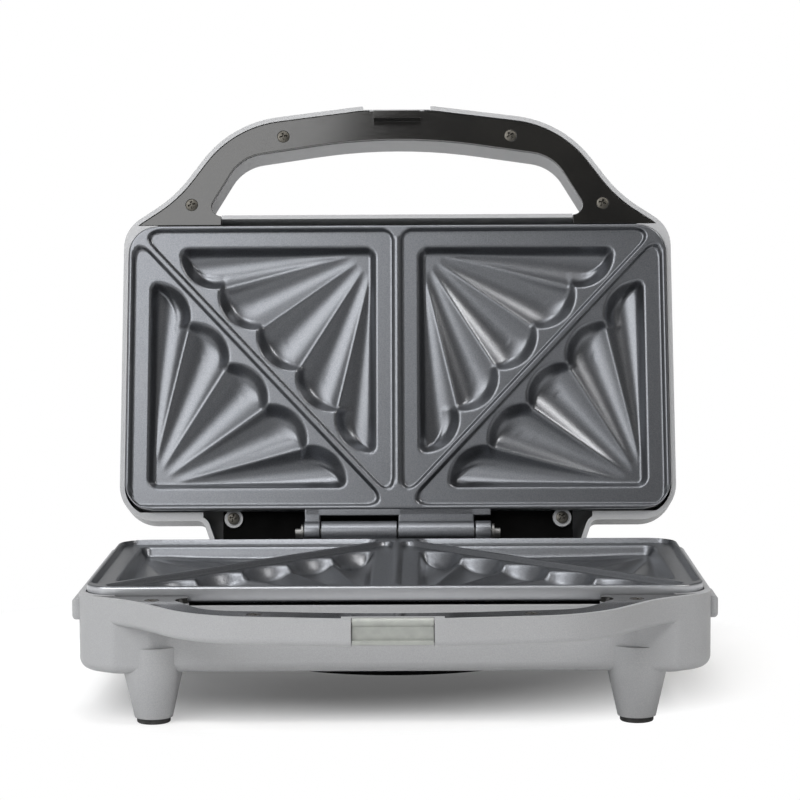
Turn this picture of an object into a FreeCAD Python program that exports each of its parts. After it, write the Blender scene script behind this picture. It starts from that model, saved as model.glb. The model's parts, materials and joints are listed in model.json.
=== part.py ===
import FreeCAD, Part
import math
import os

from FreeCAD import Vector

# Two-portion sandwich toaster, millimetres, +Z up, front towards -Y.
# Every piece is first drawn closed, with the hinge axis on the X axis and the cooking face upwards.
# Lid pieces are then turned over about Y, swung open about X, and all pieces moved to the origin.

# Cooking plate: one casting, used in the base and again in the lid
plate_width = 272.0
plate_depth = 146.0
plate_corner_radius = 14.0
plate_slab = 5.0
plate_gap = 2.0
frame_border = 2.0
frame_rise = 2.2
divider_width = 3.2
diagonal_width = 2.4
ledge_acute_radius = 5.5
ledge_centre_radius = 5.0
ledge_outer_radius = 12.0

# Fluted pockets
pocket_leg_inset = 9.3
pocket_scallop_inset = 10.4
pocket_corner_radius = 7.0
pocket_floor_depth = 4.6
pocket_wall_run = 2.4
flute_count = 5
flute_depth = 10.5
flute_start = 10.0
scallop_bulge = 7.5
pocket_metal = 2.0

# Plate fixings
plate_boss_radius = 5.0
plate_boss_height = 6.0
front_boss_inset = 14.0
rear_boss_inset = 13.0
rear_boss_spread = 13.0
plate_screw_radius = 2.0
screw_clearance = 0.1
screw_grip = 4.0
screw_head_radius = 3.8
screw_head_height = 1.4
screw_slot_width = 0.7
screw_slot_share = 0.6

# Hinge
hinge_setback = 12.0
hinge_barrel_radius = 6.0
hinge_barrel_length = 38.0
hinge_lug_length = 8.0
hinge_side_gap = 0.4
hinge_housing_gap = 1.6
hinge_pin_radius = 2.5
hinge_pin_clearance = 0.05
hinge_pin_overhang = 3.0
hinge_clip_radius = 4.6
hinge_clip_thickness = 1.0
hinge_groove_depth = 0.5
lid_open_angle = 106.0

# Shells
rim_recess = 3.5
plate_clearance = 0.6
shell_wall = 2.4
shell_corner_radius = 18.0
lid_height = 25.5
lid_edge_radius = 8.0
lid_rear_overhang = 5.0
base_height = 33.7
base_edge_radius = 5.0
base_rear_overhang = 4.0
front_wall_reach = 6.3
front_wall_drop = 4.1
front_corner_radius = 8.0
lid_front_radius = 9.0
front_bulge_reach = 10.0
front_bulge_inset = 33.0
front_bulge_run = 8.0

# Hood behind the hinge, part of the lid shell
hood_half_width = 97.0
hood_taper = 7.0
hood_reach = 13.0
hood_root_radius = 4.0
hood_tip_radius = 12.0
hood_liner_level = 8.5
hood_liner_thickness = 2.0
hood_boss_x = 82.0
hood_boss_radius = 4.6
hood_boss_level = 7.0
hood_screw_offset = 3.5
hood_screw_radius = 1.6
hood_screw_head_radius = 3.0

# Arch handles, measured outwards from the plate's front edge
handle_reach = 63.8
handle_flat_half = 17.8
handle_flat_radius = 60.0
handle_shoulder_inset = 54.0
handle_shoulder_drop = 8.7
handle_shoulder_radius = 56.0
handle_neck_inset = 25.7
handle_neck_reach = 16.5
handle_neck_radius = 65.0
handle_root_reach = -0.8
handle_wall = 2.2
handle_band = 14.5
opening_shoulder_inset = 59.2
opening_shoulder_drop = 12.0
opening_shoulder_radius = 22.0
opening_root_inset = 40.8
opening_root_radius = 5.0
opening_crown_radius = 280.0
opening_wall = 2.0
base_band_height = 12.0
base_band_edge_radius = 3.0
lid_band_height = 22.5
lid_band_edge_radius = 5.0

# Handle covers and their screws
cover_recess = 0.4
cover_thickness = 2.5
cover_clearance = 0.3
cover_root_reach = 1.0
cover_screw_radius = 1.5
cover_screw_head_radius = 3.0
cover_screw_head_height = 1.2
cover_screw_length = 8.0
cover_post_radius = 4.0
root_screw_inset = 34.2
root_screw_reach = 12.0
arch_screw_x = 58.2
arch_screw_drop = 1.6

# Latch in the notch of the base handle, and its catch on the lid handle
notch_half_width = 17.3
notch_depth_lid = 6.0
latch_side_clearance = 0.4
latch_thickness = 2.0
latch_recess = 1.7
latch_length = 9.0
latch_lip_height = 1.8
latch_pivot_drop = 1.8
latch_knuckle_radius = 1.9
latch_pin_radius = 1.0
latch_pin_clearance = 0.04
latch_cheek = 4.2
latch_room = 1.2
catch_half_width = 12.0
catch_gap = 0.4
catch_toe = 2.0

# Side ribs, legs and underside of the base
rib_proud = 3.5
rib_height = 9.5
rib_drop = 3.0
rib_front_inset = 10.0
rib_length = 22.0
rib_edge_radius = 2.0
leg_x = 106.0
leg_front_inset = 2.0
leg_rear_inset = 10.0
leg_top_radius = 13.0
leg_tip_radius = 8.4
leg_height = 20.4
leg_boss_height = 11.5
pad_radius = 7.4
pad_height = 2.5
pad_edge_radius = 0.8
pad_spigot_radius = 3.0
pad_spigot_height = 3.0
post_radius = 4.5
post_foot_radius = 6.6
cover_oval_x = 66.0
cover_oval_y = 50.0
cover_oval_front = 22.0
cover_oval_drop = 7.0
cover_oval_wall = 2.2
cover_oval_lap = 8.0
cover_oval_screw_radius = 1.5
cover_oval_head_radius = 3.0
stop_x = 70.0
stop_width = 8.0
stop_height = 7.0
stop_gap = 0.4
gland_side_inset = 39.0
gland_level = 23.4
gland_radius = 6.0
gland_flange_radius = 8.0
gland_flange = 2.0
gland_bore = 3.6

# Heating and control pieces
element_radius = 3.0
element_gap = 0.05
element_half_width = 95.0
element_front_inset = 45.0
element_rear_inset = 28.0
element_bend = 24.0
element_end_x = 45.0
terminal_radius = 2.8
terminal_length = 9.0
terminal_pin_radius = 1.2
terminal_pin_length = 8.0
clamp_width = 9.0
clamp_sheet = 1.0
clamp_tail = 9.0
clamp_screw_radius = 1.5
clamp_screw_head_radius = 2.8
clamp_screw_head = 1.2
clamp_screw_grip = 1.4
clamp_front_x = 36.0
pan_sheet = 0.8
pan_drop = 2.4
pan_edge_gap = 3.0
pan_corner_radius = 10.0
pan_hole_clearance = 0.3
thermostat_radius = 7.2
thermostat_height = 6.5
thermostat_inset = 46.0
fuse_radius = 2.2
fuse_length = 14.0
fuse_inset = 76.0
terminal_block_x = 60.0
terminal_block_length = 30.0
terminal_block_depth = 12.0
terminal_block_height = 6.5
terminal_block_inset = 14.0
block_screw_radius = 1.6
block_screw_pitch = 9.0
block_screw_depth = 3.5
lamp_x = 12.0
lamp_inset = 20.0
lamp_radius = 4.0
lamp_clearance = 0.1
lamp_flange_radius = 5.6
lamp_flange = 0.8
lamp_proud = 0.8
lamp_holder_length = 40.0
lamp_holder_depth = 14.0
lamp_holder_thickness = 2.2
lamp_window_gap = 1.5

# Levels and edges that follow from the sizes above
frame_level = -plate_gap / 2
ledge_level = frame_level - frame_rise
slab_underside = frame_level - plate_slab
pocket_underside = ledge_level - flute_depth - pocket_metal
rim_level = frame_level - rim_recess
rear_edge = -hinge_setback
front_edge = rear_edge - plate_depth
shell_half_width = plate_width / 2 + plate_clearance + shell_wall
gland_x = shell_half_width - gland_side_inset
lid_rear = rear_edge + lid_rear_overhang
base_rear = rear_edge + base_rear_overhang
lid_crown = rim_level - lid_height
base_floor = rim_level - base_height
leg_tip_level = base_floor - leg_height
cover_face_level = rim_level - cover_recess
cover_back_level = cover_face_level - cover_thickness
element_level = pocket_underside - element_gap - element_radius
element_underside = element_level - element_radius
pan_level = element_underside - pan_drop
pan_underside = pan_level - pan_sheet
base_screw_seat = (base_floor + pan_underside) / 2
boss_level = slab_underside - plate_boss_height
hood_boss_y = rear_edge + hood_screw_offset
terminal_block_y = base_rear - terminal_block_inset - terminal_block_depth / 2
terminal_block_top = base_floor + shell_wall + terminal_block_height
latch_pivot_y = front_edge - handle_reach + latch_recess + latch_thickness / 2
latch_pivot_z = rim_level - latch_pivot_drop
latch_pin_end = notch_half_width + latch_cheek - opening_wall / 2
notch_back_y = latch_pivot_y + latch_knuckle_radius + latch_room - latch_thickness / 2
lamp_y = front_edge + lamp_inset
opening_crown_reach = handle_reach - handle_band
opening_shoulder_reach = opening_crown_reach - opening_shoulder_drop
handle_shoulder_reach = handle_reach - handle_shoulder_drop
beyond = 400.0
hair = 0.01


def block(x0, x1, y0, y1, z0, z1):
    """Box between two corners, given in any order."""
    low = Vector(min(x0, x1), min(y0, y1), min(z0, z1))
    return Part.makeBox(abs(x1 - x0), abs(y1 - y0), abs(z1 - z0), low)


def upright(x, y, z0, z1, radius):
    """Vertical cylinder from one level to another."""
    return Part.makeCylinder(radius, abs(z1 - z0), Vector(x, y, min(z0, z1)))


def crosswise(x0, x1, y, z, radius):
    """Cylinder along X."""
    return Part.makeCylinder(radius, abs(x1 - x0), Vector(min(x0, x1), y, z), Vector(1, 0, 0))


def lengthwise(x, y0, y1, z, radius):
    """Cylinder along Y."""
    return Part.makeCylinder(radius, abs(y1 - y0), Vector(x, min(y0, y1), z), Vector(0, 1, 0))


def joined(shapes):
    """All the shapes as one solid."""
    body = shapes[0]
    for shape in shapes[1:]:
        body = body.fuse(shape)
    return body.removeSplitter()


def both_sides(shape):
    """A piece and its mirror image across the middle plane."""
    return [shape, shape.mirror(Vector(0, 0, 0), Vector(1, 0, 0))]


def outline_wire(corners, level):
    """Closed wire through corners (x, y, radius), each corner rounded by an arc."""
    starts = []
    ends = []
    middles = []
    count = len(corners)
    for i in range(count):
        corner = Vector(corners[i][0], corners[i][1], level)
        before = Vector(corners[i - 1][0], corners[i - 1][1], level).sub(corner).normalize()
        after_corner = corners[(i + 1) % count]
        after = Vector(after_corner[0], after_corner[1], level).sub(corner).normalize()
        half = before.getAngle(after) / 2
        reach = corners[i][2] / math.tan(half)
        bisector = before.add(after)
        if corners[i][2] > 0:
            bisector.normalize()
            depth = corners[i][2] / math.sin(half) - corners[i][2]
            middles.append(corner.add(bisector.multiply(depth)))
        else:
            middles.append(None)
        starts.append(corner.add(before.multiply(reach)))
        ends.append(corner.add(after.multiply(reach)))
    edges = []
    for i in range(count):
        if middles[i]:
            edges.append(Part.Arc(starts[i], middles[i], ends[i]).toShape())
        edges.append(Part.LineSegment(ends[i], starts[(i + 1) % count]).toShape())
    return Part.Wire(edges)


def inset(corners, distance):
    """Counter-clockwise outline moved inwards; a negative distance moves it outwards."""
    moved = []
    count = len(corners)
    for i in range(count):
        x, y, radius = corners[i]
        before = Vector(x - corners[i - 1][0], y - corners[i - 1][1], 0).normalize()
        following = corners[(i + 1) % count]
        after = Vector(following[0] - x, following[1] - y, 0).normalize()
        shift = distance / (1 + before.dot(after))
        convex = before.x * after.y - before.y * after.x > 0
        new_radius = radius - distance if convex else radius + distance
        if radius == 0:
            new_radius = 0
        moved.append((x - shift * (before.y + after.y), y + shift * (before.x + after.x),
                      max(new_radius, 0)))
    return moved


def mirrored(half):
    """Whole outline from its right half, listed from front to rear."""
    return half + [(-x, y, radius) for x, y, radius in reversed(half)]


def flat_face(corners, level=0.0):
    return Part.Face(outline_wire(corners, level))


def prism(corners, z0, z1):
    """Outline extruded between two levels."""
    return flat_face(corners, min(z0, z1)).extrude(Vector(0, 0, abs(z1 - z0)))


def drafted(corners, top, bottom, run):
    """Outline at the top level that narrows by a run on the way to the bottom level."""
    narrow = [(x, y, max(radius, hair)) for x, y, radius in inset(corners, run)]
    return Part.makeLoft([outline_wire(corners, top), outline_wire(narrow, bottom)], True, True)


def tray(corners, depth, edge_radius):
    """Block hanging from the rim level, its lower edge rounded all round."""
    body = prism(corners, rim_level, rim_level - depth)
    low = [edge for edge in body.Edges if edge.BoundBox.ZMax < rim_level - depth + hair]
    return body.makeFillet(edge_radius, low)


def reach_y(reach):
    """Y of a point given by its reach beyond the plate's front edge."""
    return front_edge - reach


def handle_half(last_corners):
    """Right half of a shell outline with its arch handle, ending in the given rear corners."""
    side = shell_half_width
    return [
        (handle_flat_half, reach_y(handle_reach), handle_flat_radius),
        (side - handle_shoulder_inset, reach_y(handle_shoulder_reach), handle_shoulder_radius),
        (side - handle_neck_inset, reach_y(handle_neck_reach), handle_neck_radius),
        (side, reach_y(handle_root_reach), shell_corner_radius),
    ] + last_corners


def arch_zone():
    """All the room ahead of the rounded corners where an arch handle leaves its shell."""
    return block(-beyond, beyond, reach_y(beyond), reach_y(handle_root_reach) + shell_corner_radius,
                 -beyond, beyond)


def opening_corners():
    """Hand opening between the arch and the front wall."""
    shoulder = shell_half_width - opening_shoulder_inset
    root = shell_half_width - opening_root_inset
    crown = (0.0, reach_y(opening_crown_reach), opening_crown_radius)
    right = [
        (shoulder, reach_y(opening_shoulder_reach), opening_shoulder_radius),
        (root, reach_y(front_wall_reach), opening_root_radius),
    ]
    return [crown] + mirrored(right)


def front_wall_half():
    """Half the straight length of the opening's side along the front wall."""
    rise = opening_shoulder_reach - front_wall_reach
    run = opening_shoulder_inset - opening_root_inset
    tangent = opening_root_radius / math.tan(math.atan2(rise, run) / 2)
    return shell_half_width - opening_root_inset - tangent


def cover_outline_face(clearance):
    """Flat face of a handle cover: the arch between its walls, down to the plate's edge."""
    rear = (shell_half_width, rear_edge, 0)
    outer = flat_face(inset(mirrored(handle_half([rear])), handle_wall + clearance))
    ahead = flat_face([
        (-beyond, reach_y(beyond), 0),
        (beyond, reach_y(beyond), 0),
        (beyond, reach_y(cover_root_reach + clearance), 0),
        (-beyond, reach_y(cover_root_reach + clearance), 0),
    ])
    ring = inset(opening_corners(), -clearance)
    side = front_wall_half() + clearance
    below = flat_face([
        (-side, reach_y(front_wall_reach + clearance + hair), 0),
        (side, reach_y(front_wall_reach + clearance + hair), 0),
        (side, rear_edge, 0),
        (-side, rear_edge, 0),
    ])
    return outer.common(ahead).cut(flat_face(ring)).cut(below)


def lifted(face, z0, z1):
    """Face drawn at level zero, extruded between two levels."""
    shape = face.copy()
    shape.translate(Vector(0, 0, min(z0, z1)))
    return shape.extrude(Vector(0, 0, abs(z1 - z0)))


def cover_screw_places():
    """Places of the four handle cover screws."""
    shoulder_x = shell_half_width - handle_shoulder_inset
    share = (arch_screw_x - handle_flat_half) / (shoulder_x - handle_flat_half)
    outer = handle_reach - handle_shoulder_drop * share
    inner_share = arch_screw_x / (shell_half_width - opening_shoulder_inset)
    inner = opening_crown_reach - opening_shoulder_drop * inner_share
    root_x = shell_half_width - root_screw_inset
    places = []
    for side in (-1, 1):
        places.append((side * root_x, reach_y(root_screw_reach)))
        places.append((side * arch_screw_x, reach_y((outer + inner) / 2 - arch_screw_drop)))
    return places


def plate_boss_places():
    """Places of the four bosses under a plate, clear of the pockets."""
    front_x = plate_width / 2 - front_boss_inset
    places = []
    for side in (-1, 1):
        places.append((side * front_x, front_edge + front_boss_inset))
        places.append((side * rear_boss_spread, rear_edge - rear_boss_inset))
    return places


def flute(start, centre, radius):
    """Cone from a point, tangent to a ball at its far end, as one solid of revolution."""
    along = centre.sub(start)
    length = along.Length
    half_angle = math.asin(radius / length)
    touch = Vector(length * math.cos(half_angle) ** 2, radius * math.cos(half_angle), 0)
    middle_angle = (math.pi / 2 + half_angle) / 2
    middle = Vector(length + radius * math.cos(middle_angle), radius * math.sin(middle_angle), 0)
    tip = Vector(length + radius, 0, 0)
    origin = Vector(0, 0, 0)
    edges = [
        Part.LineSegment(origin, touch).toShape(),
        Part.Arc(touch, middle, tip).toShape(),
        Part.LineSegment(tip, origin).toShape(),
    ]
    solid = Part.Face(Part.Wire(edges)).revolve(origin, Vector(1, 0, 0), 360)
    solid.Placement = FreeCAD.Placement(start, FreeCAD.Rotation(Vector(1, 0, 0), along))
    return solid


def cell_legs():
    """Legs of the triangle that half a cell makes, along X and along Y."""
    leg_x_length = plate_width / 2 - frame_border - divider_width / 2
    leg_y_length = plate_depth - 2 * frame_border
    return leg_x_length, leg_y_length


def pocket_tool(leg_a, leg_b):
    """Fluted pocket with its right angle at the origin and the ledge at level zero."""
    slant = math.hypot(leg_a, leg_b)
    outward = Vector(leg_b / slant, leg_a / slant, 0)
    pitch = slant / flute_count
    plan_radius = ((pitch / 2) ** 2 + scallop_bulge ** 2) / (2 * scallop_bulge)
    ball_radius = (plan_radius ** 2 + flute_depth ** 2) / (2 * flute_depth)
    flutes = []
    for i in range(flute_count):
        share = (i + 0.5) / flute_count
        edge_point = Vector(leg_a * (1 - share), leg_b * share, 0)
        plan = edge_point.sub(Vector(outward).multiply(plan_radius - scallop_bulge))
        centre = Vector(plan.x, plan.y, ball_radius - flute_depth)
        start = Vector(plan).normalize().multiply(flute_start)
        start.z = -pocket_floor_depth
        flutes.append(flute(start, centre, ball_radius))
    slope = pocket_wall_run / pocket_floor_depth
    deep = flute_depth + plate_slab
    room = [(0, 0, pocket_corner_radius), (2 * leg_a, 0, hair), (0, 2 * leg_b, hair)]
    walls = drafted(inset(room, -slope * frame_rise), frame_rise, -deep, slope * (deep + frame_rise))
    back = 1 - (plan_radius - scallop_bulge) * slant / (leg_a * leg_b)
    floor = [(0, 0, pocket_corner_radius), (leg_a * back, 0, hair), (0, leg_b * back, hair)]
    floor_cut = drafted(inset(floor, -slope * frame_rise), frame_rise, -pocket_floor_depth,
                        slope * (pocket_floor_depth + frame_rise))
    fan = flutes[0].multiFuse(flutes[1:]).common(walls)
    return fan.fuse(floor_cut)


def placed_in_cells(shape):
    """Copies of a triangle's shape, drawn for the front triangle of the right cell, in all four."""
    middle_x = (divider_width / 2 + plate_width / 2 - frame_border) / 2
    middle = Vector(middle_x, (front_edge + rear_edge) / 2, 0)
    turned = shape.copy()
    turned.rotate(middle, Vector(0, 0, 1), 180)
    return both_sides(shape) + both_sides(turned)


def make_plate():
    """Cast plate: slab, pocket bumps, screw bosses and hinge barrels, with ledges and pockets cut."""
    half = plate_width / 2
    slab = prism([
        (-half, front_edge, plate_corner_radius),
        (half, front_edge, plate_corner_radius),
        (half, rear_edge, plate_corner_radius),
        (-half, rear_edge, plate_corner_radius),
    ], frame_level, slab_underside)
    leg_a, leg_b = cell_legs()
    slant = math.hypot(leg_a, leg_b)
    ledge_share = 1 - diagonal_width / 2 * slant / (leg_a * leg_b)
    corner = Vector(divider_width / 2, front_edge + frame_border, 0)
    across = leg_a * ledge_share
    along = leg_b * ledge_share

    def ledge(right_angle_radius):
        shape = prism([
            (0, 0, right_angle_radius),
            (across, 0, ledge_acute_radius),
            (0, along, ledge_acute_radius),
        ], ledge_level, frame_level + hair)
        shape.translate(corner)
        return shape

    front_ledges = placed_in_cells(ledge(ledge_centre_radius))[:2]
    rear_ledges = placed_in_cells(ledge(ledge_outer_radius))[2:]

    height = leg_a * leg_b / slant
    pocket_height = (height * ledge_share - pocket_scallop_inset
                     - pocket_leg_inset * (leg_a + leg_b) / slant)
    pocket_a = leg_a * pocket_height / height
    pocket_b = leg_b * pocket_height / height
    pocket_corner = Vector(corner.x + pocket_leg_inset, corner.y + pocket_leg_inset, ledge_level)
    pocket = pocket_tool(pocket_a, pocket_b)
    pocket.translate(pocket_corner)

    swell = 1 + scallop_bulge / pocket_height
    bump_outline = inset([
        (0, 0, pocket_corner_radius),
        (pocket_a * swell, 0, pocket_corner_radius),
        (0, pocket_b * swell, pocket_corner_radius),
    ], -pocket_metal)
    bump = prism(bump_outline, pocket_underside, slab_underside + hair)
    bump.translate(Vector(pocket_corner.x, pocket_corner.y, 0))

    solid = slab.multiFuse(placed_in_cells(bump))
    bosses = [upright(x, y, boss_level, slab_underside + hair, plate_boss_radius)
              for x, y in plate_boss_places()]
    lug_start = hinge_barrel_length + hinge_side_gap
    spans = [(-hinge_barrel_length, -hinge_side_gap / 2), (lug_start, lug_start + hinge_lug_length)]
    web_top = frame_level - hinge_side_gap
    hinges = []
    for x0, x1 in spans:
        hinges.append(crosswise(x0, x1, 0, 0, hinge_barrel_radius))
        hinges.append(block(x0, x1, rear_edge - hair, 0, -hinge_barrel_radius, web_top))
    solid = solid.multiFuse(bosses + hinges)
    holes = [upright(x, y, boss_level, slab_underside, plate_screw_radius + hair)
             for x, y in plate_boss_places()]
    bore = crosswise(-beyond, beyond, 0, 0, hinge_pin_radius + hinge_pin_clearance)
    clamp_holes = [upright(x, y, pocket_underside, pocket_underside + clamp_screw_grip + hair,
                           clamp_screw_radius + hair) for x, y in clamp_screw_places()]
    cuts = front_ledges + rear_ledges + holes + clamp_holes + [bore]
    for cut in cuts:
        solid = solid.cut(cut)
    for cut in placed_in_cells(pocket):
        solid = solid.cut(cut)
    return solid.removeSplitter()


def element_path():
    """Middle line of the heating element: a C of straight runs joined by tangent arcs."""
    front = front_edge + element_front_inset
    rear = rear_edge - element_rear_inset
    side = element_half_width
    bend = element_bend
    diagonal = bend * (1 - math.sqrt(0.5))
    level = element_level

    def at(x, y):
        return Vector(x, y, level)

    return Part.Wire([
        Part.LineSegment(at(-element_end_x, rear), at(bend - side, rear)).toShape(),
        Part.Arc(at(bend - side, rear), at(diagonal - side, rear - diagonal),
                 at(-side, rear - bend)).toShape(),
        Part.LineSegment(at(-side, rear - bend), at(-side, front + bend)).toShape(),
        Part.Arc(at(-side, front + bend), at(diagonal - side, front + diagonal),
                 at(bend - side, front)).toShape(),
        Part.LineSegment(at(bend - side, front), at(side - bend, front)).toShape(),
        Part.Arc(at(side - bend, front), at(side - diagonal, front + diagonal),
                 at(side, front + bend)).toShape(),
        Part.LineSegment(at(side, front + bend), at(side, rear - bend)).toShape(),
        Part.Arc(at(side, rear - bend), at(side - diagonal, rear - diagonal),
                 at(side - bend, rear)).toShape(),
        Part.LineSegment(at(side - bend, rear), at(element_end_x, rear)).toShape(),
    ])


def make_element():
    """Tubular heating element, a round rod along its path."""
    start = Vector(-element_end_x, rear_edge - element_rear_inset, element_level)
    ring = Part.Wire(Part.makeCircle(element_radius, start, Vector(1, 0, 0)))
    return element_path().makePipeShell([ring], True, False)


def make_element_terminals():
    """Insulating bead with its connecting pin on each end of the element."""
    rear = rear_edge - element_rear_inset
    bead_end = element_end_x - terminal_length
    bead = crosswise(bead_end, element_end_x, rear, element_level, terminal_radius)
    pin = crosswise(bead_end - terminal_pin_length, bead_end, rear, element_level, terminal_pin_radius)
    return both_sides(bead.fuse(pin))


def clamp_places():
    """Places on the element where a strap holds it, with the run's direction."""
    front_y = front_edge + element_front_inset
    middle_y = (front_y + rear_edge - element_rear_inset) / 2
    return [
        (element_half_width, middle_y, "along"),
        (-element_half_width, middle_y, "along"),
        (clamp_front_x, front_y, "across"),
        (-clamp_front_x, front_y, "across"),
    ]


def clamp_screw_places():
    """Each strap's screw, beside the element."""
    aside = element_radius + clamp_sheet + clamp_tail / 2
    places = []
    for x, y, run in clamp_places():
        outwards = math.copysign(aside, x)
        places.append((x + outwards, y) if run == "along" else (x, y - aside))
    return places


def make_clamps():
    """Bent strap round the element with a tail that lies against the plate."""
    straps = []
    half = clamp_width / 2
    room = element_radius + element_gap
    outside = room + clamp_sheet
    under = element_level - room
    for x, y, run in clamp_places():
        tail_reach = outside + clamp_tail - clamp_sheet
        outer = block(-outside, outside, -half, half, under - clamp_sheet, pocket_underside)
        hollow = block(-room, room, -half, half, under, pocket_underside)
        tail = block(room, tail_reach, -half, half, pocket_underside - clamp_sheet, pocket_underside)
        hole_x = element_radius + clamp_sheet + clamp_tail / 2
        hole = upright(hole_x, 0, pocket_underside - clamp_sheet, pocket_underside,
                       clamp_screw_radius + screw_clearance)
        strap = outer.cut(hollow).fuse(tail).cut(hole).removeSplitter()
        if run == "across":
            strap.rotate(Vector(0, 0, 0), Vector(0, 0, 1), -90)
        elif x < 0:
            strap.rotate(Vector(0, 0, 0), Vector(0, 0, 1), 180)
        strap.translate(Vector(x, y, 0))
        straps.append(strap)
    return straps


def make_clamp_screws():
    seat = pocket_underside - clamp_sheet
    screws = []
    for x, y in clamp_screw_places():
        head = upright(x, y, seat - clamp_screw_head, seat, clamp_screw_head_radius)
        shank = upright(x, y, seat, pocket_underside + clamp_screw_grip, clamp_screw_radius)
        screws.append(head.fuse(shank).removeSplitter())
    return screws


def make_thermostat():
    """Disc thermostat under the slab, between the pockets, with two tabs."""
    y = rear_edge - thermostat_inset
    top = slab_underside
    can = upright(0, y, top - thermostat_height, top, thermostat_radius)
    foot = upright(0, y, top - thermostat_height - terminal_pin_radius, top - thermostat_height,
                   thermostat_radius / 2)
    tab_level = top - thermostat_height - terminal_pin_radius
    tabs = block(-thermostat_radius / 2, thermostat_radius / 2, y - terminal_pin_radius,
                 y + terminal_pin_radius, tab_level - terminal_pin_radius, tab_level)
    return joined([can, foot, tabs])


def pan_corners():
    side = plate_width / 2 - pan_edge_gap
    return [
        (-side, front_edge + pan_edge_gap, pan_corner_radius),
        (side, front_edge + pan_edge_gap, pan_corner_radius),
        (side, rear_edge - pan_edge_gap, pan_corner_radius),
        (-side, rear_edge - pan_edge_gap, pan_corner_radius),
    ]


def make_lower_pan():
    """Reflector pan of the base: it sits on the feet of the plate posts."""
    pan = prism(pan_corners(), pan_underside, pan_level)
    for x, y in plate_boss_places():
        pan = pan.cut(upright(x, y, pan_underside, pan_level, post_radius + pan_hole_clearance))
    return pan


def make_upper_pan():
    """Reflector pan of the lid: four drawn sleeves reach the plate's bosses, a window frees the lamps."""
    pan = prism(pan_corners(), pan_underside, pan_level)
    window_x = lamp_holder_length / 2 + lamp_window_gap
    window_y = lamp_holder_depth / 2 + lamp_window_gap
    pan = pan.cut(block(-window_x, window_x, lamp_y - window_y, lamp_y + window_y,
                        pan_underside, pan_level))
    sleeves = [upright(x, y, pan_level, boss_level, post_radius) for x, y in plate_boss_places()]
    pan = joined([pan] + sleeves)
    for x, y in plate_boss_places():
        pan = pan.cut(upright(x, y, pan_underside, boss_level,
                              plate_screw_radius + screw_clearance))
    return pan


def make_plate_screws(seat):
    """Screws up into the plate's bosses, their heads under the given seat."""
    screws = []
    for x, y in plate_boss_places():
        head = upright(x, y, seat - screw_head_height, seat, screw_head_radius)
        shank = upright(x, y, seat, boss_level + screw_grip, plate_screw_radius)
        screws.append(head.fuse(shank).removeSplitter())
    return screws


def slotted_screw(x, y, seat, head_radius, head_height, shank_radius):
    """Screw with its head above the seat, a cross slot in the head and the shank below."""
    top = seat + head_height
    head = upright(x, y, seat, top, head_radius)
    shank = upright(x, y, seat - cover_screw_length, seat, shank_radius)
    screw = head.fuse(shank).removeSplitter()
    arm = head_radius * screw_slot_share
    half = screw_slot_width / 2
    bottom = top - screw_slot_width
    screw = screw.cut(block(x - arm, x + arm, y - half, y + half, bottom, top))
    return screw.cut(block(x - half, x + half, y - arm, y + arm, bottom, top))


def make_cover_screws():
    """Four pan-head screws let into a handle cover."""
    seat = cover_face_level - cover_screw_head_height
    return [slotted_screw(x, y, seat, cover_screw_head_radius, cover_screw_head_height, cover_screw_radius)
            for x, y in cover_screw_places()]


def cut_cover_screw_holes(cover):
    """Counterbored holes for the handle cover screws."""
    seat = cover_face_level - cover_screw_head_height
    for x, y in cover_screw_places():
        cover = cover.cut(upright(x, y, cover_back_level, seat, cover_screw_radius + screw_clearance))
        cover = cover.cut(upright(x, y, seat, cover_face_level, cover_screw_head_radius + screw_clearance))
    return cover


def add_cover_posts(shell, floor):
    """Posts under a handle cover, bored for its screws."""
    bottom = cover_face_level - cover_screw_head_height - cover_screw_length
    for x, y in cover_screw_places():
        shell = shell.fuse(upright(x, y, floor - hair, cover_back_level, cover_post_radius))
    for x, y in cover_screw_places():
        shell = shell.cut(upright(x, y, max(bottom, floor), cover_back_level, cover_screw_radius + hair))
    return shell


def front_lips():
    """Rim-level ledges that fill the corners between the plate's front corners and a shell's walls."""
    half = plate_width / 2 + plate_clearance
    radius = plate_corner_radius + plate_clearance
    front = front_edge - plate_clearance
    plate_room = prism([
        (-half, front, radius),
        (half, front, radius),
        (half, rear_edge, 0),
        (-half, rear_edge, 0),
    ], rim_level + hair, rim_level - shell_wall - hair)
    ledge = block(half - radius, shell_half_width, reach_y(cover_root_reach),
                  front_edge + plate_corner_radius, rim_level - shell_wall, rim_level + hair)
    return both_sides(ledge.cut(plate_room))


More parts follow.
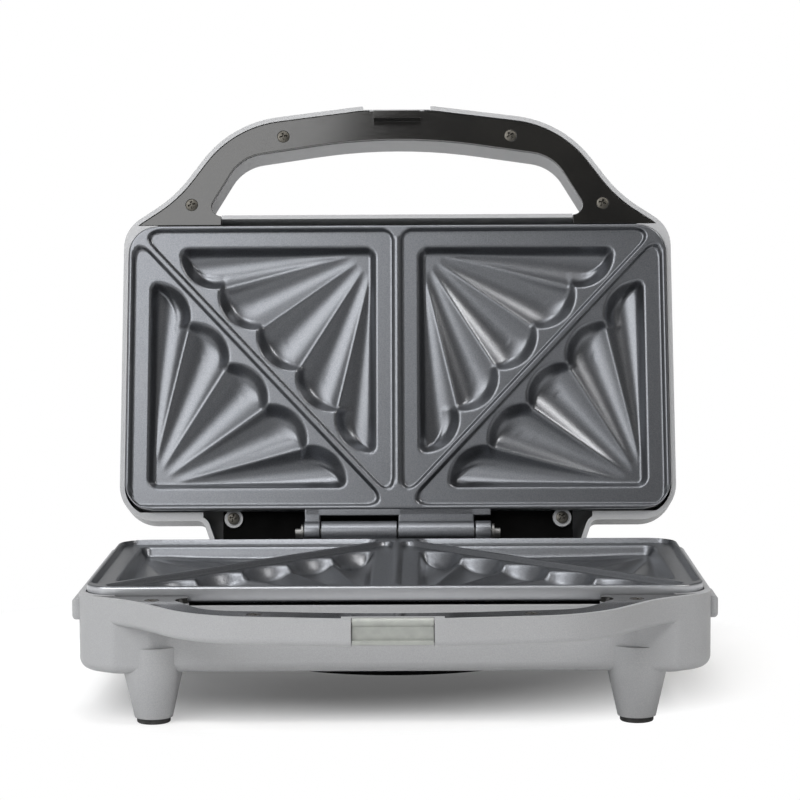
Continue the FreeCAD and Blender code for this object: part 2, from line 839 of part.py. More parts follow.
def make_lid_shell():
    """Silver dome of the lid with its thinner arch handle, hand opening and rear hood."""
    rear = [
        (shell_half_width, lid_rear, shell_corner_radius),
        (hood_half_width, lid_rear, hood_root_radius),
        (hood_half_width - hood_taper, hood_reach, hood_tip_radius),
    ]
    corner_share = (front_wall_reach - handle_root_reach) / (handle_neck_reach - handle_root_reach)
    corner_x = shell_half_width - handle_neck_inset * corner_share
    dome_corners = mirrored([
        (corner_x, reach_y(front_wall_reach), lid_front_radius),
        (shell_half_width, reach_y(handle_root_reach), shell_corner_radius),
    ] + rear)
    dome = tray(dome_corners, lid_height, lid_edge_radius)
    inside = tray(inset(dome_corners, shell_wall), lid_height - shell_wall, lid_edge_radius - shell_wall)
    band_corners = mirrored(handle_half(rear))
    band = tray(band_corners, lid_band_height, lid_band_edge_radius)
    channel = tray(inset(band_corners, shell_wall), lid_band_height - shell_wall,
                   lid_band_edge_radius - shell_wall)
    shell = dome.fuse(band.common(arch_zone()))
    inside = inside.fuse(channel.common(arch_zone()))
    ring = inset(opening_corners(), -opening_wall)
    inside = inside.cut(prism(ring, rim_level + hair, lid_crown))
    rear_lips = [block(side * hood_half_width, side * shell_half_width, rear_edge + plate_clearance,
                       lid_rear, rim_level - shell_wall, rim_level + hair) for side in (-1, 1)]
    for lip in rear_lips + front_lips():
        inside = inside.cut(lip)
    shell = shell.cut(inside)
    shell = shell.cut(prism(opening_corners(), rim_level + hair, lid_crown - hair))
    shell = shell.cut(lifted(cover_outline_face(0.0), cover_back_level, rim_level + hair))
    shell = add_cover_posts(shell, rim_level - lid_band_height + shell_wall)
    floor = lid_crown + shell_wall
    for x in (-hood_boss_x, hood_boss_x):
        shell = shell.fuse(upright(x, hood_boss_y, floor - hair, -hood_boss_level, hood_boss_radius))
        shell = shell.cut(upright(x, hood_boss_y, floor, -hood_boss_level, hood_screw_radius + hair))
    for x in (-lamp_x, lamp_x):
        shell = shell.cut(upright(x, lamp_y, lid_crown - hair, floor + hair, lamp_radius + lamp_clearance))
    notch = block(-notch_half_width, notch_half_width, reach_y(handle_reach - handle_wall),
                  reach_y(handle_reach + handle_wall), rim_level - notch_depth_lid, rim_level + hair)
    return shell.cut(notch).removeSplitter()


def make_lid_cover():
    """Dark cover of the lid handle with the hooked catch for the latch."""
    cover = lifted(cover_outline_face(cover_clearance), cover_back_level, cover_face_level)
    cover = cut_cover_screw_holes(cover)
    inner_face = latch_pivot_y + latch_thickness / 2
    toe_front = inner_face + catch_gap
    toe_back = toe_front + catch_toe
    web_back = toe_back + catch_toe
    # The latch stands up by half a turn, so the underside of its lip comes this far past the hinge plane.
    lip_under = latch_pivot_z + latch_length - latch_lip_height
    toe_top = -(lip_under - catch_gap)
    toe_bottom = toe_top + catch_toe
    web = block(-catch_half_width, catch_half_width, toe_back, web_back, cover_back_level, toe_bottom)
    toe = block(-catch_half_width, catch_half_width, toe_front, web_back, toe_top, toe_bottom)
    return joined([cover, web, toe])


def make_base_cover():
    """Dark cover of the base handle, cut back round the latch."""
    cover = lifted(cover_outline_face(cover_clearance), cover_back_level, cover_face_level)
    cover = cut_cover_screw_holes(cover)
    room = notch_half_width + latch_cheek + cover_clearance
    notch = block(-room, room, reach_y(handle_reach + handle_wall),
                  notch_back_y + handle_wall + cover_clearance, cover_back_level, cover_face_level)
    return cover.cut(notch)


def make_hood_liner():
    """Black plate that closes the hood behind the hinge, with two lugs under the hood screws."""
    side = hood_half_width - hood_taper - shell_wall - cover_clearance
    rear = hood_reach - shell_wall - cover_clearance
    level = -hood_liner_level
    half = [
        (side, hood_boss_y - hood_boss_radius, 0),
        (side, rear, hood_tip_radius - shell_wall),
    ]
    liner = prism(mirrored(half), level - hood_liner_thickness, level)
    for x in (-hood_boss_x, hood_boss_x):
        room = hood_boss_radius + cover_clearance
        liner = liner.cut(upright(x, hood_boss_y, level - hood_liner_thickness, level, room))
    stiffener = block(-side + hood_tip_radius, side - hood_tip_radius, rear - hood_liner_thickness, rear,
                      level, rim_level)
    return joined([liner, stiffener])


def make_hood_screws():
    """Two screws in the hood bosses, heads facing the cooking side."""
    return [slotted_screw(x, hood_boss_y, -hood_boss_level, hood_screw_head_radius, screw_head_height,
                          hood_screw_radius) for x in (-hood_boss_x, hood_boss_x)]


def make_lamp_lens(x):
    """Round lens through the crown of the lid, with a flange behind it."""
    inner = lid_crown + shell_wall
    lens = upright(x, lamp_y, lid_crown - lamp_proud, inner, lamp_radius)
    rim = [edge for edge in lens.Edges if edge.BoundBox.ZMax < lid_crown - lamp_proud + hair]
    lens = lens.makeFillet(lamp_proud, rim)
    return lens.fuse(upright(x, lamp_y, inner, inner + lamp_flange, lamp_flange_radius)).removeSplitter()


def make_lamp_holder():
    """Strip that carries both lamps behind their lenses."""
    low = lid_crown + shell_wall + lamp_flange
    half_x = lamp_holder_length / 2
    half_y = lamp_holder_depth / 2
    strip = block(-half_x, half_x, lamp_y - half_y, lamp_y + half_y, low, low + lamp_holder_thickness)
    feet = [block(side * half_x, side * (half_x - lamp_holder_thickness), lamp_y - half_y, lamp_y + half_y,
                  lid_crown + shell_wall, low) for side in (-1, 1)]
    return joined([strip] + feet)


def leg_places():
    places = []
    for side in (-1, 1):
        places.append((side * leg_x, front_edge + leg_front_inset))
        places.append((side * leg_x, rear_edge - leg_rear_inset))
    return places


def oval_face(grow, level):
    """Oval of the bottom cover, made smaller or larger all round."""
    ellipse = Part.Ellipse(Vector(0, front_edge + cover_oval_front + cover_oval_y, level),
                           cover_oval_x + grow, cover_oval_y + grow)
    return Part.Face(Part.Wire(ellipse.toShape()))


def oval_screw_places():
    middle = front_edge + cover_oval_front + cover_oval_y
    spread_x = cover_oval_x - cover_oval_lap / 2
    return [(-spread_x, middle), (spread_x, middle)]


def make_base_housing():
    """Silver tub of the base: walls, arch handle with its channel, ribs, legs and posts."""
    side = shell_half_width
    corner_share = (front_bulge_reach - handle_root_reach) / (handle_neck_reach - handle_root_reach)
    bulge_x = side - front_bulge_inset
    body_corners = mirrored([
        (bulge_x - front_bulge_run, reach_y(front_wall_reach), front_corner_radius),
        (bulge_x, reach_y(front_bulge_reach), front_corner_radius),
        (side - handle_neck_inset * corner_share, reach_y(front_bulge_reach), front_corner_radius),
        (side, reach_y(handle_root_reach), shell_corner_radius),
        (side, base_rear, shell_corner_radius),
    ])
    body = tray(body_corners, base_height, base_edge_radius)
    inside = tray(inset(body_corners, shell_wall), base_height - shell_wall, base_edge_radius - shell_wall)
    for lip in front_lips():
        inside = inside.cut(lip)
    band_corners = mirrored(handle_half([(side, base_rear, shell_corner_radius)]))
    band = tray(band_corners, base_band_height, base_band_edge_radius)
    band = band.common(arch_zone())
    rib_top = rim_level - rib_drop
    rib_front = front_edge + rib_front_inset
    rib = block(side - shell_wall, side + rib_proud, rib_front, rib_front + rib_length,
                rib_top - rib_height, rib_top)
    outer_edges = [edge for edge in rib.Edges if edge.BoundBox.XMin > side]
    rib = rib.makeFillet(rib_edge_radius, outer_edges)
    leg_bosses = [upright(x, y, base_floor, base_floor + leg_boss_height, leg_top_radius)
                  for x, y in leg_places() if y < rear_edge - plate_depth / 2]
    housing = body.multiFuse([band] + both_sides(rib) + leg_bosses).cut(inside)

    channel_bottom = rim_level - base_band_height + opening_wall
    channel = flat_face(inset(band_corners, handle_wall))
    channel = channel.cut(flat_face(inset(opening_corners(), -opening_wall)))
    ahead_of_wall = flat_face([
        (-beyond, reach_y(beyond), 0),
        (beyond, reach_y(beyond), 0),
        (beyond, reach_y(front_wall_reach), 0),
        (-beyond, reach_y(front_wall_reach), 0),
    ])
    housing = housing.cut(lifted(channel.common(ahead_of_wall), channel_bottom, rim_level + hair))
    housing = housing.cut(prism(opening_corners(), rim_level + hair, rim_level - base_band_height - hair))
    housing = housing.cut(lifted(cover_outline_face(0.0), cover_back_level, rim_level + hair))
    housing = housing.cut(block(-front_wall_half(), front_wall_half(), reach_y(0),
                                reach_y(front_wall_reach + hair), rim_level - front_wall_drop,
                                rim_level + hair))
    housing = add_cover_posts(housing, channel_bottom)
    housing = cut_latch_notch(housing)

    floor = base_floor + shell_wall
    for x, y in leg_places():
        tip = Vector(x, y, leg_tip_level)
        inner_tip = Vector(x, y, leg_tip_level + shell_wall)
        leg = Part.makeCone(leg_tip_radius, leg_top_radius, leg_height, tip)
        collar = upright(x, y, base_floor, floor, leg_top_radius)
        hollow = Part.makeCone(leg_tip_radius - shell_wall, leg_top_radius - shell_wall, leg_height,
                               inner_tip)
        housing = housing.fuse(leg.fuse(collar)).cut(hollow)
        housing = housing.cut(upright(x, y, tip.z, inner_tip.z, pad_spigot_radius + screw_clearance))
    for x, y in plate_boss_places():
        housing = housing.fuse(upright(x, y, base_floor + hair, pan_underside, post_foot_radius))
        housing = housing.fuse(upright(x, y, pan_underside, boss_level, post_radius))
    for x, y in plate_boss_places():
        housing = housing.cut(upright(x, y, base_floor, boss_level, plate_screw_radius + screw_clearance))
        housing = housing.cut(upright(x, y, base_floor, base_screw_seat,
                                      screw_head_radius + screw_clearance))
    window = oval_face(-cover_oval_lap, base_floor).extrude(Vector(0, 0, shell_wall))
    housing = housing.cut(window)
    for x, y in oval_screw_places():
        housing = housing.cut(upright(x, y, base_floor, floor, cover_oval_screw_radius + hair))
    hinge_room = hinge_barrel_length + hinge_lug_length + hinge_housing_gap
    housing = housing.cut(block(-hinge_room, hinge_room, rear_edge, base_rear + hair,
                                -hinge_barrel_radius - plate_clearance, rim_level + hair))
    lug_rear, lug_top = stop_lug_corner()
    for x in (-stop_x, stop_x):
        lug = block(x - stop_width / 2, x + stop_width / 2, base_rear - hair, lug_rear,
                    lug_top - stop_height, lug_top)
        housing = housing.fuse(lug)
    gland_hole = lengthwise(gland_x, base_rear - shell_wall - hair, base_rear + hair, -gland_level,
                            gland_radius + hair)
    return housing.cut(gland_hole).removeSplitter()


def stop_lug_corner():
    """Rear face and top of the stop lugs: just short of the open hood's rear rim."""
    swing = math.radians(lid_open_angle)
    depth = -rim_level
    inner = hood_reach - shell_wall
    places = []
    for y in (inner, hood_reach):
        places.append((y * math.cos(swing) + depth * math.sin(swing),
                       depth * math.cos(swing) - y * math.sin(swing)))
    rear = min(place[0] for place in places) - stop_gap
    top = max(place[1] for place in places)
    return rear, top


def cut_latch_notch(housing):
    """Solid cheeks round the latch, the notch it hangs in and the bore of its pin."""
    cheek = notch_half_width + latch_cheek
    low = rim_level - base_band_height
    front = reach_y(handle_reach - handle_wall / 2)
    housing = housing.fuse(block(-cheek, cheek, front, notch_back_y + handle_wall, low + opening_wall / 2,
                                 rim_level))
    housing = housing.cut(block(-notch_half_width, notch_half_width, reach_y(handle_reach + handle_wall),
                                notch_back_y, low - hair, rim_level + hair))
    return housing.cut(crosswise(-latch_pin_end, latch_pin_end, latch_pivot_y, latch_pivot_z,
                                 latch_pin_radius + hair))


def make_latch():
    """Clip that hangs from its pin, with an outward lip at its lower end."""
    half = notch_half_width - latch_side_clearance
    front = latch_pivot_y - latch_thickness / 2
    back = latch_pivot_y + latch_thickness / 2
    bottom = latch_pivot_z - latch_length
    panel = block(-half, half, front, back, bottom, latch_pivot_z)
    lip = block(-half, half, front - latch_recess, back, bottom, bottom + latch_lip_height)
    knuckle = crosswise(-half, half, latch_pivot_y, latch_pivot_z, latch_knuckle_radius)
    latch = joined([panel, lip, knuckle])
    return latch.cut(crosswise(-beyond, beyond, latch_pivot_y, latch_pivot_z,
                               latch_pin_radius + latch_pin_clearance))


def make_foot_pads():
    """Rubber discs under the legs, each with a spigot in the leg's hole."""
    pads = []
    sole = leg_tip_level - pad_height
    for x, y in leg_places():
        disc = upright(x, y, sole, leg_tip_level, pad_radius)
        rim = [edge for edge in disc.Edges if edge.BoundBox.ZMax < sole + hair]
        disc = disc.makeFillet(pad_edge_radius, rim)
        spigot = upright(x, y, leg_tip_level, leg_tip_level + pad_spigot_height, pad_spigot_radius)
        pads.append(disc.fuse(spigot).removeSplitter())
    return pads


def make_bottom_cover():
    """Oval tray under the base that closes the service window."""
    cover = oval_face(0.0, base_floor - cover_oval_drop).extrude(Vector(0, 0, cover_oval_drop))
    low = [edge for edge in cover.Edges if edge.BoundBox.ZMax < base_floor - cover_oval_drop + hair]
    cover = cover.makeFillet(cover_oval_wall, low)
    hollow = oval_face(-cover_oval_lap, base_floor - cover_oval_drop + cover_oval_wall)
    cover = cover.cut(hollow.extrude(Vector(0, 0, cover_oval_drop)))
    for x, y in oval_screw_places():
        cover = cover.cut(upright(x, y, base_floor - cover_oval_drop, base_floor,
                                  cover_oval_screw_radius + screw_clearance))
        cover = cover.cut(upright(x, y, base_floor - cover_oval_drop, base_floor - cover_oval_wall,
                                  cover_oval_head_radius + screw_clearance))
    return cover


def make_bottom_cover_screws():
    screws = []
    for x, y in oval_screw_places():
        seat = base_floor - cover_oval_wall
        head = upright(x, y, seat - screw_head_height, seat, cover_oval_head_radius)
        shank = upright(x, y, seat, base_floor + shell_wall, cover_oval_screw_radius)
        screws.append(head.fuse(shank).removeSplitter())
    return screws


def make_gland():
    """Flanged bush in the rear wall for the mains lead."""
    wall_inside = base_rear - shell_wall
    inner = wall_inside - gland_flange
    outer = base_rear + gland_flange
    barrel = lengthwise(gland_x, wall_inside, base_rear, -gland_level, gland_radius)
    outside = lengthwise(gland_x, base_rear, outer, -gland_level, gland_flange_radius)
    inside = lengthwise(gland_x, inner, wall_inside, -gland_level, gland_flange_radius)
    bush = joined([barrel, outside, inside])
    return bush.cut(lengthwise(gland_x, inner - hair, outer + hair, -gland_level, gland_bore))


def make_terminal_block():
    """Block on the floor of the base with a row of screw holes in its top."""
    half_length = terminal_block_length / 2
    half_depth = terminal_block_depth / 2
    body = block(terminal_block_x - half_length, terminal_block_x + half_length,
                 terminal_block_y - half_depth, terminal_block_y + half_depth,
                 base_floor + shell_wall, terminal_block_top)
    for x in block_screw_columns():
        body = body.cut(upright(x, terminal_block_y, terminal_block_top - block_screw_depth,
                                terminal_block_top, block_screw_radius + screw_clearance))
    return body


def block_screw_columns():
    return [terminal_block_x + i * block_screw_pitch for i in (-1, 0, 1)]


def make_terminal_screws():
    bottom = terminal_block_top - block_screw_depth
    return [upright(x, terminal_block_y, bottom, terminal_block_top, block_screw_radius)
            for x in block_screw_columns()]


def make_fuse():
    """Thermal fuse under the slab, lying along the channel between the pockets."""
    middle = rear_edge - fuse_inset
    half = fuse_length / 2
    axis_level = slab_underside - fuse_radius
    can = lengthwise(0, middle - half, middle + half, axis_level, fuse_radius)
    lead = lengthwise(0, middle - fuse_length, middle + fuse_length, axis_level, terminal_pin_radius / 2)
    return can.fuse(lead).removeSplitter()


def hinge_end():
    return hinge_barrel_length + hinge_side_gap + hinge_lug_length


def clip_start():
    return hinge_end() + hinge_side_gap


def make_hinge_pin():
    """Steel pin through all hinge barrels, grooved at both ends for its clips."""
    end = clip_start() + hinge_clip_thickness + hinge_pin_overhang
    pin = crosswise(-end, end, 0, 0, hinge_pin_radius)
    core = hinge_pin_radius - hinge_groove_depth
    for side in (-1, 1):
        x0 = side * clip_start()
        x1 = side * (clip_start() + hinge_clip_thickness)
        groove = crosswise(x0, x1, 0, 0, hinge_pin_radius + hair).cut(crosswise(x0, x1, 0, 0, core))
        pin = pin.cut(groove)
    return pin


def make_hinge_clips():
    clips = []
    core = hinge_pin_radius - hinge_groove_depth
    for side in (-1, 1):
        x0 = side * clip_start()
        x1 = side * (clip_start() + hinge_clip_thickness)
        ring = crosswise(x0, x1, 0, 0, hinge_clip_radius)
        clips.append(ring.cut(crosswise(x0, x1, 0, 0, core + hair)))
    return clips


def make_latch_pin():
    return crosswise(-latch_pin_end, latch_pin_end, latch_pivot_y, latch_pivot_z, latch_pin_radius)


def solids(shape_or_list):
    """One shape for a node, keeping separate solids separate."""
    if isinstance(shape_or_list, list):
        return Part.makeCompound([item.Solids[0] for item in shape_or_list])
    return shape_or_list.Solids[0] if len(shape_or_list.Solids) == 1 else shape_or_list


plate = make_plate()
element = make_element()
element_terminals = solids(make_element_terminals())
clamps = solids(make_clamps())
clamp_screws = solids(make_clamp_screws())
thermostat = make_thermostat()
cover_screws = solids(make_cover_screws())

base_pieces = {
    "base_housing": make_base_housing(),
    "base_handle_cover": make_base_cover(),
    "base_handle_screws": cover_screws,
    "lower_plate": plate,
    "lower_heating_element": element,
    "lower_element_terminals": element_terminals,
    "lower_element_clamps": clamps,
    "lower_clamp_screws": clamp_screws,
    "lower_reflector": make_lower_pan(),
    "lower_plate_screws": solids(make_plate_screws(base_screw_seat)),
    "lower_thermostat": thermostat,
    "thermal_fuse": make_fuse(),
    "terminal_block": make_terminal_block(),
    "terminal_screws": solids(make_terminal_screws()),
    "cord_gland": make_gland(),
    "foot_pads": solids(make_foot_pads()),
    "bottom_cover": make_bottom_cover(),
    "bottom_cover_screws": solids(make_bottom_cover_screws()),
    "hinge_pin": make_hinge_pin(),
    "hinge_clips": solids(make_hinge_clips()),
    "latch_pin": make_latch_pin(),
    "handle_latch": make_latch(),
}

lid_pieces = {
    "lid_shell": make_lid_shell(),
    "lid_handle_cover": make_lid_cover(),
    "lid_handle_screws": cover_screws,
    "upper_plate": plate,
    "upper_heating_element": element,
    "upper_element_terminals": element_terminals,
    "upper_element_clamps": clamps,
    "upper_clamp_screws": clamp_screws,
    "upper_reflector": make_upper_pan(),
    "upper_plate_screws": solids(make_plate_screws(pan_underside)),
    "upper_thermostat": thermostat,
    "hood_liner": make_hood_liner(),
    "hood_screws": solids(make_hood_screws()),
    "lamp_holder": make_lamp_holder(),
    "power_lamp_lens": make_lamp_lens(lamp_x),
    "ready_lamp_lens": make_lamp_lens(-lamp_x),
}

pieces = dict(base_pieces)
for name, shape in lid_pieces.items():
    opened = shape.copy()
    opened.rotate(Vector(0, 0, 0), Vector(0, 1, 0), 180)
    opened.rotate(Vector(0, 0, 0), Vector(1, 0, 0), -lid_open_angle)
    pieces[name] = opened

whole = Part.makeCompound(list(pieces.values())).optimalBoundingBox(False, False)
to_origin = Vector(-(whole.XMin + whole.XMax) / 2, -(whole.YMin + whole.YMax) / 2, -whole.ZMin)

os.makedirs("parts", exist_ok=True)
for name, shape in pieces.items():
    placed = shape.copy()
    placed.translate(to_origin)
    placed.exportStep("parts/" + name + ".step")

print("size", round(whole.XLength, 2), round(whole.YLength, 2), round(whole.ZLength, 2))
print("hinge axis at y, z", round(to_origin.y, 3), round(to_origin.z, 3))
print("latch axis at y, z", round(latch_pivot_y + to_origin.y, 3), round(latch_pivot_z + to_origin.z, 3))
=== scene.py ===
import json
import math

import bmesh
import bpy
import numpy as np
from mathutils import Matrix, Vector


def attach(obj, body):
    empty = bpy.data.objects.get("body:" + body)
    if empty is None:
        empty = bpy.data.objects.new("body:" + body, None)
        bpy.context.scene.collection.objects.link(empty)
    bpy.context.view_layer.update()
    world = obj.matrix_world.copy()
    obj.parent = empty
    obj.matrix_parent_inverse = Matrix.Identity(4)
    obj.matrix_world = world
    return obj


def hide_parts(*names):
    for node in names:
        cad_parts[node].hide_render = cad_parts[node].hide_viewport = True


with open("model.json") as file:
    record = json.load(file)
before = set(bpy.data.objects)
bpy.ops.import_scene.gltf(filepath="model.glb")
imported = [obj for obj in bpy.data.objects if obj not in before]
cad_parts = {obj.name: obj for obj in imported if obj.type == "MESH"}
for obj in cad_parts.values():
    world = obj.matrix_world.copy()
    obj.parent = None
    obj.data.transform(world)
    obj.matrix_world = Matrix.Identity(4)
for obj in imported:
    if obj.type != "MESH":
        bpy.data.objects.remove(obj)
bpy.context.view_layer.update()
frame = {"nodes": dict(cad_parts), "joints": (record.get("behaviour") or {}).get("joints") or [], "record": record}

# Open two-portion sandwich toaster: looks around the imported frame, in metres.

NODES = frame["nodes"]
MM = 0.001

# Hinge of the lid, taken from the frame
lid_joint = next(joint for joint in frame["joints"] if joint["name"] == "lid_hinge")
HINGE = np.array(lid_joint["pos_m"])
LID_OPEN = math.radians(lid_joint["range_deg"][1])

# Cooking plate, millimetres, with its frame plane at level zero and its middle at the origin; slopes,
# LEAST_SHARE, FLUTE_START, FLUTE_OVERRUN, FLUTE_ROUND and CREST_ROUND have no unit, and CUP_DROP is for each
# millimetre past the cup
PLATE_WIDTH = 272.0
PLATE_DEPTH = 146.0
PLATE_CORNER = 14.0
PLATE_SIDE = 7.0
PLATE_EDGE = 1.0
PLATE_HALF_GAP = 1.0
CELL_STEPS = 180
CORNER_ZONE = 20.0
FRAME_BORDER = 2.0
FRAME_RISE = 2.2
FRAME_RAMP = 0.9
DIVIDER = 3.2
DIAGONAL = 2.4
LEDGE_CORNER = 6.0
LEDGE_ACUTE = 9.0
POCKET_INSET = 9.3
SCALLOP_INSET = 10.4
POCKET_CORNER = 5.0
POCKET_TIP = 4.0
FLOOR_DEPTH = 4.6
WALL_SLOPE = 1.9
FLUTES = 5
LEAST_SHARE = 0.001
FLUTE_SWELL = 5.2
FLUTE_START = 0.16
FLUTE_OVERRUN = 1.2
FLUTE_ROUND = 1.4
CREST_RISE = 2.4
CREST_ROUND = 0.07
SCALLOP_BULGE = 7.5
POCKET_METAL = 1.4
RIDGE_ROUND = 0.9
FLOOR_ROUND = 1.3
CUP_DEPTH = 7.7
CUP_REACH = 12.5
CUP_SLOPE = 1.3
CUP_ROUND = 1.2
CUP_DROP = 0.15

# Hinge barrels of a plate, the webs that carry them and the lip above them, millimetres
BARREL_RADIUS = 6.0
BARREL_BORE = 2.55
BARREL_LENGTH = 38.0
BARREL_CHAMFER = 0.5
BARREL_FACETS = 64
LUG_LENGTH = 8.0
SIDE_GAP = 0.4
HINGE_SETBACK = 12.0
LIP_REACH = 3.1
LIP_DEPTH = 5.0
LIP_ROUND = 0.6
WEB_SINK = 1.0
WEB_WALL = 0.8
WEB_ROUND = 0.8

# Screws in the handle covers and the hood, millimetres, with levels and the hood's setback from the hinge
# axis, a cover screw's place as X and reach beyond the plate's front edge, turns in degrees, and SCREW_ARM
# as a share of the radius
COVER_LEVEL = -4.9
COVER_SCREWS = [(-104.8, 12.0), (-58.2, 47.96), (58.2, 47.96), (104.8, 12.0)]
COVER_SCREW_TURNS = [20, 55, -12, 74]
HOOD_LEVEL = -5.8
HOOD_SCREW_X = 82.0
HOOD_SETBACK = 8.5
HOOD_SCREW_TURNS = [35, 10]
SCREW_RADIUS = 3.0
SCREW_RINGS = 40
SCREW_SPOKES = 96
SCREW_DOME = 0.2
SCREW_SLOT = 0.8
SCREW_ARM = 0.62
SCREW_DEPTH = 0.9
SCREW_EDGE = 0.2
SCREW_SINK = 1.2

# Rounded edges of the shells and handle covers, millimetres and degrees
SHELL_ROUND = 0.7
COVER_ROUND = 0.45
ROUND_STEPS = 2
SHARP_ANGLE = 35.0
FLAT_ANGLE = 0.5
MERGE_DISTANCE = 0.002
FLAT_WEIGHT = 100

# Surround, as brightness at its left and its right, and floor, metres, with the shift and the fade of its
# shadow as shares of the shadow's reach
SURROUND_FRONT = (0.26, 0.04)
SURROUND_LOW = (1.1, 0.72)
SURROUND_REAR = (0.7, 0.4)
FLOOR_HALF = 4.0
SHADOW_REACH = (0.29, 0.215)
SHADOW_SHIFT = (0.14, -0.3)
SHADOW_FADE = (0.44, 0.86)
SHADOW_LIFT = 0.09

# Camera that took the photo, its place from the middle of the hinge axis
CAMERA_PLACE = (0.013214, -1.291428, 0.182821)
CAMERA_YAW = -0.5212
CAMERA_PITCH = 5.158
CAMERA_ROLL = -0.3031
CAMERA_FOCAL_PIXELS = 2625.13
PHOTO_WIDTH = 800
SENSOR = 36.0


class Value:
    """An output socket in a node tree; arithmetic between values adds Math nodes."""

    def __init__(self, tree, socket=None):
        self.tree = tree
        self.socket = socket

    def node(self, kind, settings=None, inputs=None, output=0):
        """Adds a node: its settings are set first, then its sockets get numbers, colours or links."""
        made = self.tree.nodes.new(kind)
        for name, setting in (settings or {}).items():
            setattr(made, name, setting)
        for name, value in (inputs or {}).items():
            if isinstance(value, Value):
                self.tree.links.new(value.socket, made.inputs[name])
            else:
                made.inputs[name].default_value = value
        return Value(self.tree, made.outputs[output])

    def math(self, operation, *values):
        """Math node that works on values and numbers."""
        return self.node("ShaderNodeMath", {"operation": operation}, dict(enumerate(values)))

    def __add__(self, other):
        return self.math("ADD", self, other)

    def __radd__(self, other):
        return self.math("ADD", other, self)

    def __mul__(self, other):
        return self.math("MULTIPLY", self, other)

    def __rmul__(self, other):
        return self.math("MULTIPLY", other, self)

    def place(self):
        """The piece's own coordinates, in metres."""
        return self.node("ShaderNodeTexCoord", output="Object")

    def noise(self, size, detail, vector=None):
        """Noise between 0 and 1 whose blobs are about the given size in metres."""
        where = vector or self.place()
        return self.node("ShaderNodeTexNoise", None,
                         {"Vector": where, "Scale": 1 / size, "Detail": detail}, "Fac")

    def ramp(self, low, high):
        """This value stretched so that low becomes 0 and high becomes 1, clamped."""
        return self.node("ShaderNodeMapRange", {"clamp": True},
                         {"Value": self, "From Min": low, "From Max": high}, "Result")

    def mix(self, first, second):
        """Colour between two colours, with this value as the share of the second."""
        return self.node("ShaderNodeMix", {"data_type": "RGBA"}, {0: self, 6: first, 7: second}, 2)

    def bump(self, depth, strength):
        """Normal of a surface raised by this value times a depth in metres."""
        return self.node("ShaderNodeBump", None, {"Height": self, "Distance": depth, "Strength": strength})


def grey(value, warmth=0.0):
    """Linear grey, tinted towards yellow by a positive warmth and towards blue by a negative one."""
    return (value * (1 + warmth / 2), value, value * (1 - warmth), 1.0)


def finish(name, **sockets):
    """Material with one Principled shader; the sockets get constants, or values made by functions."""
    made = bpy.data.materials.new(name)
    made.use_nodes = True
    shader = made.node_tree.nodes["Principled BSDF"]
    start = Value(made.node_tree)
    for socket, content in sockets.items():
        target = shader.inputs[socket.replace("_", " ").title().replace("Ior", "IOR")]
        if callable(content):
            made.node_tree.links.new(content(start).socket, target)
        else:
            target.default_value = content
    return made


def silver_paint():
    """Satin silver-grey paint on plastic: fine flakes, faint orange peel and slight cloudiness."""
    def colour(v):
        flakes = v.noise(0.35 * MM, 1.0).ramp(0.3, 0.75)
        clouds = v.noise(60 * MM, 3.0).ramp(0.3, 0.7)
        base = flakes.mix(grey(0.29, -0.025), grey(0.355, -0.025))
        return (0.25 * clouds).mix(base, grey(0.31, -0.015))

    def roughness(v):
        return 0.42 + 0.1 * v.noise(6 * MM, 3.0)

    def peel(v):
        return v.noise(1.1 * MM, 2.0).bump(0.012 * MM, 0.6)

    return finish("silver_paint", base_color=colour, roughness=roughness, normal=peel, metallic=0.2,
                  specular_ior_level=0.35)


def gloss_black():
    """Polished black moulding with hair-fine rub marks."""
    def colour(v):
        return v.noise(30 * MM, 3.0).ramp(0.35, 0.7).mix(grey(0.008, 0.06), grey(0.012, 0.08))

    def roughness(v):
        rubs = v.node("ShaderNodeMapping", None, {"Vector": v.place(), "Scale": (1.0, 9.0, 9.0)})
        return 0.1 + 0.05 * v.noise(5 * MM, 4.0, rubs).ramp(0.4, 0.8)

    return finish("gloss_black", base_color=colour, roughness=roughness, ior=1.52)


def plate_coating():
    """Dark metallic non-stick coating: fine speckle, tiny pits and a soft sheen."""
    def colour(v):
        speckle = v.noise(0.55 * MM, 2.0).ramp(0.32, 0.7)
        clouds = v.noise(25 * MM, 3.0).ramp(0.3, 0.75)
        base = speckle.mix(grey(0.108, -0.09), grey(0.155, -0.07))
        coated = (0.35 * clouds).mix(base, grey(0.13, -0.06))
        bare = v.node("ShaderNodeAttribute", {"attribute_name": "bare"}, output="Fac")
        return bare.mix(coated, grey(0.5, -0.04))

    def roughness(v):
        return 0.28 + 0.1 * v.noise(0.9 * MM, 2.0)

    def grain(v):
        return v.noise(0.6 * MM, 2.0).bump(0.02 * MM, 0.5)

    return finish("plate_coating", base_color=colour, roughness=roughness, normal=grain, metallic=0.95)


def latch_plastic():
    """Light grey-green moulding with a soft cloudiness."""
    def colour(v):
        return v.noise(4 * MM, 3.0).ramp(0.3, 0.7).mix((0.24, 0.25, 0.235, 1), (0.29, 0.3, 0.28, 1))

    def roughness(v):
        return 0.28 + 0.12 * v.noise(2 * MM, 2.0)

    return finish("latch_plastic", base_color=colour, roughness=roughness)


def black_plastic():
    """Fine-grained black moulding, darker than black plastic is and almost without sheen: partly its own black,
    partly painted shade for the dark inside of the hood.
    """
    def colour(v):
        # near-black tones: partly the moulding's own black, partly painted shade for the hood's shaded inside
        return v.noise(8 * MM, 3.0).ramp(0.3, 0.7).mix(grey(0.0015), grey(0.003))

    def grain(v):
        return v.noise(0.5 * MM, 2.0).bump(0.03 * MM, 0.7)

    return finish("black_plastic", base_color=colour, normal=grain, roughness=0.8, specular_ior_level=0.03)


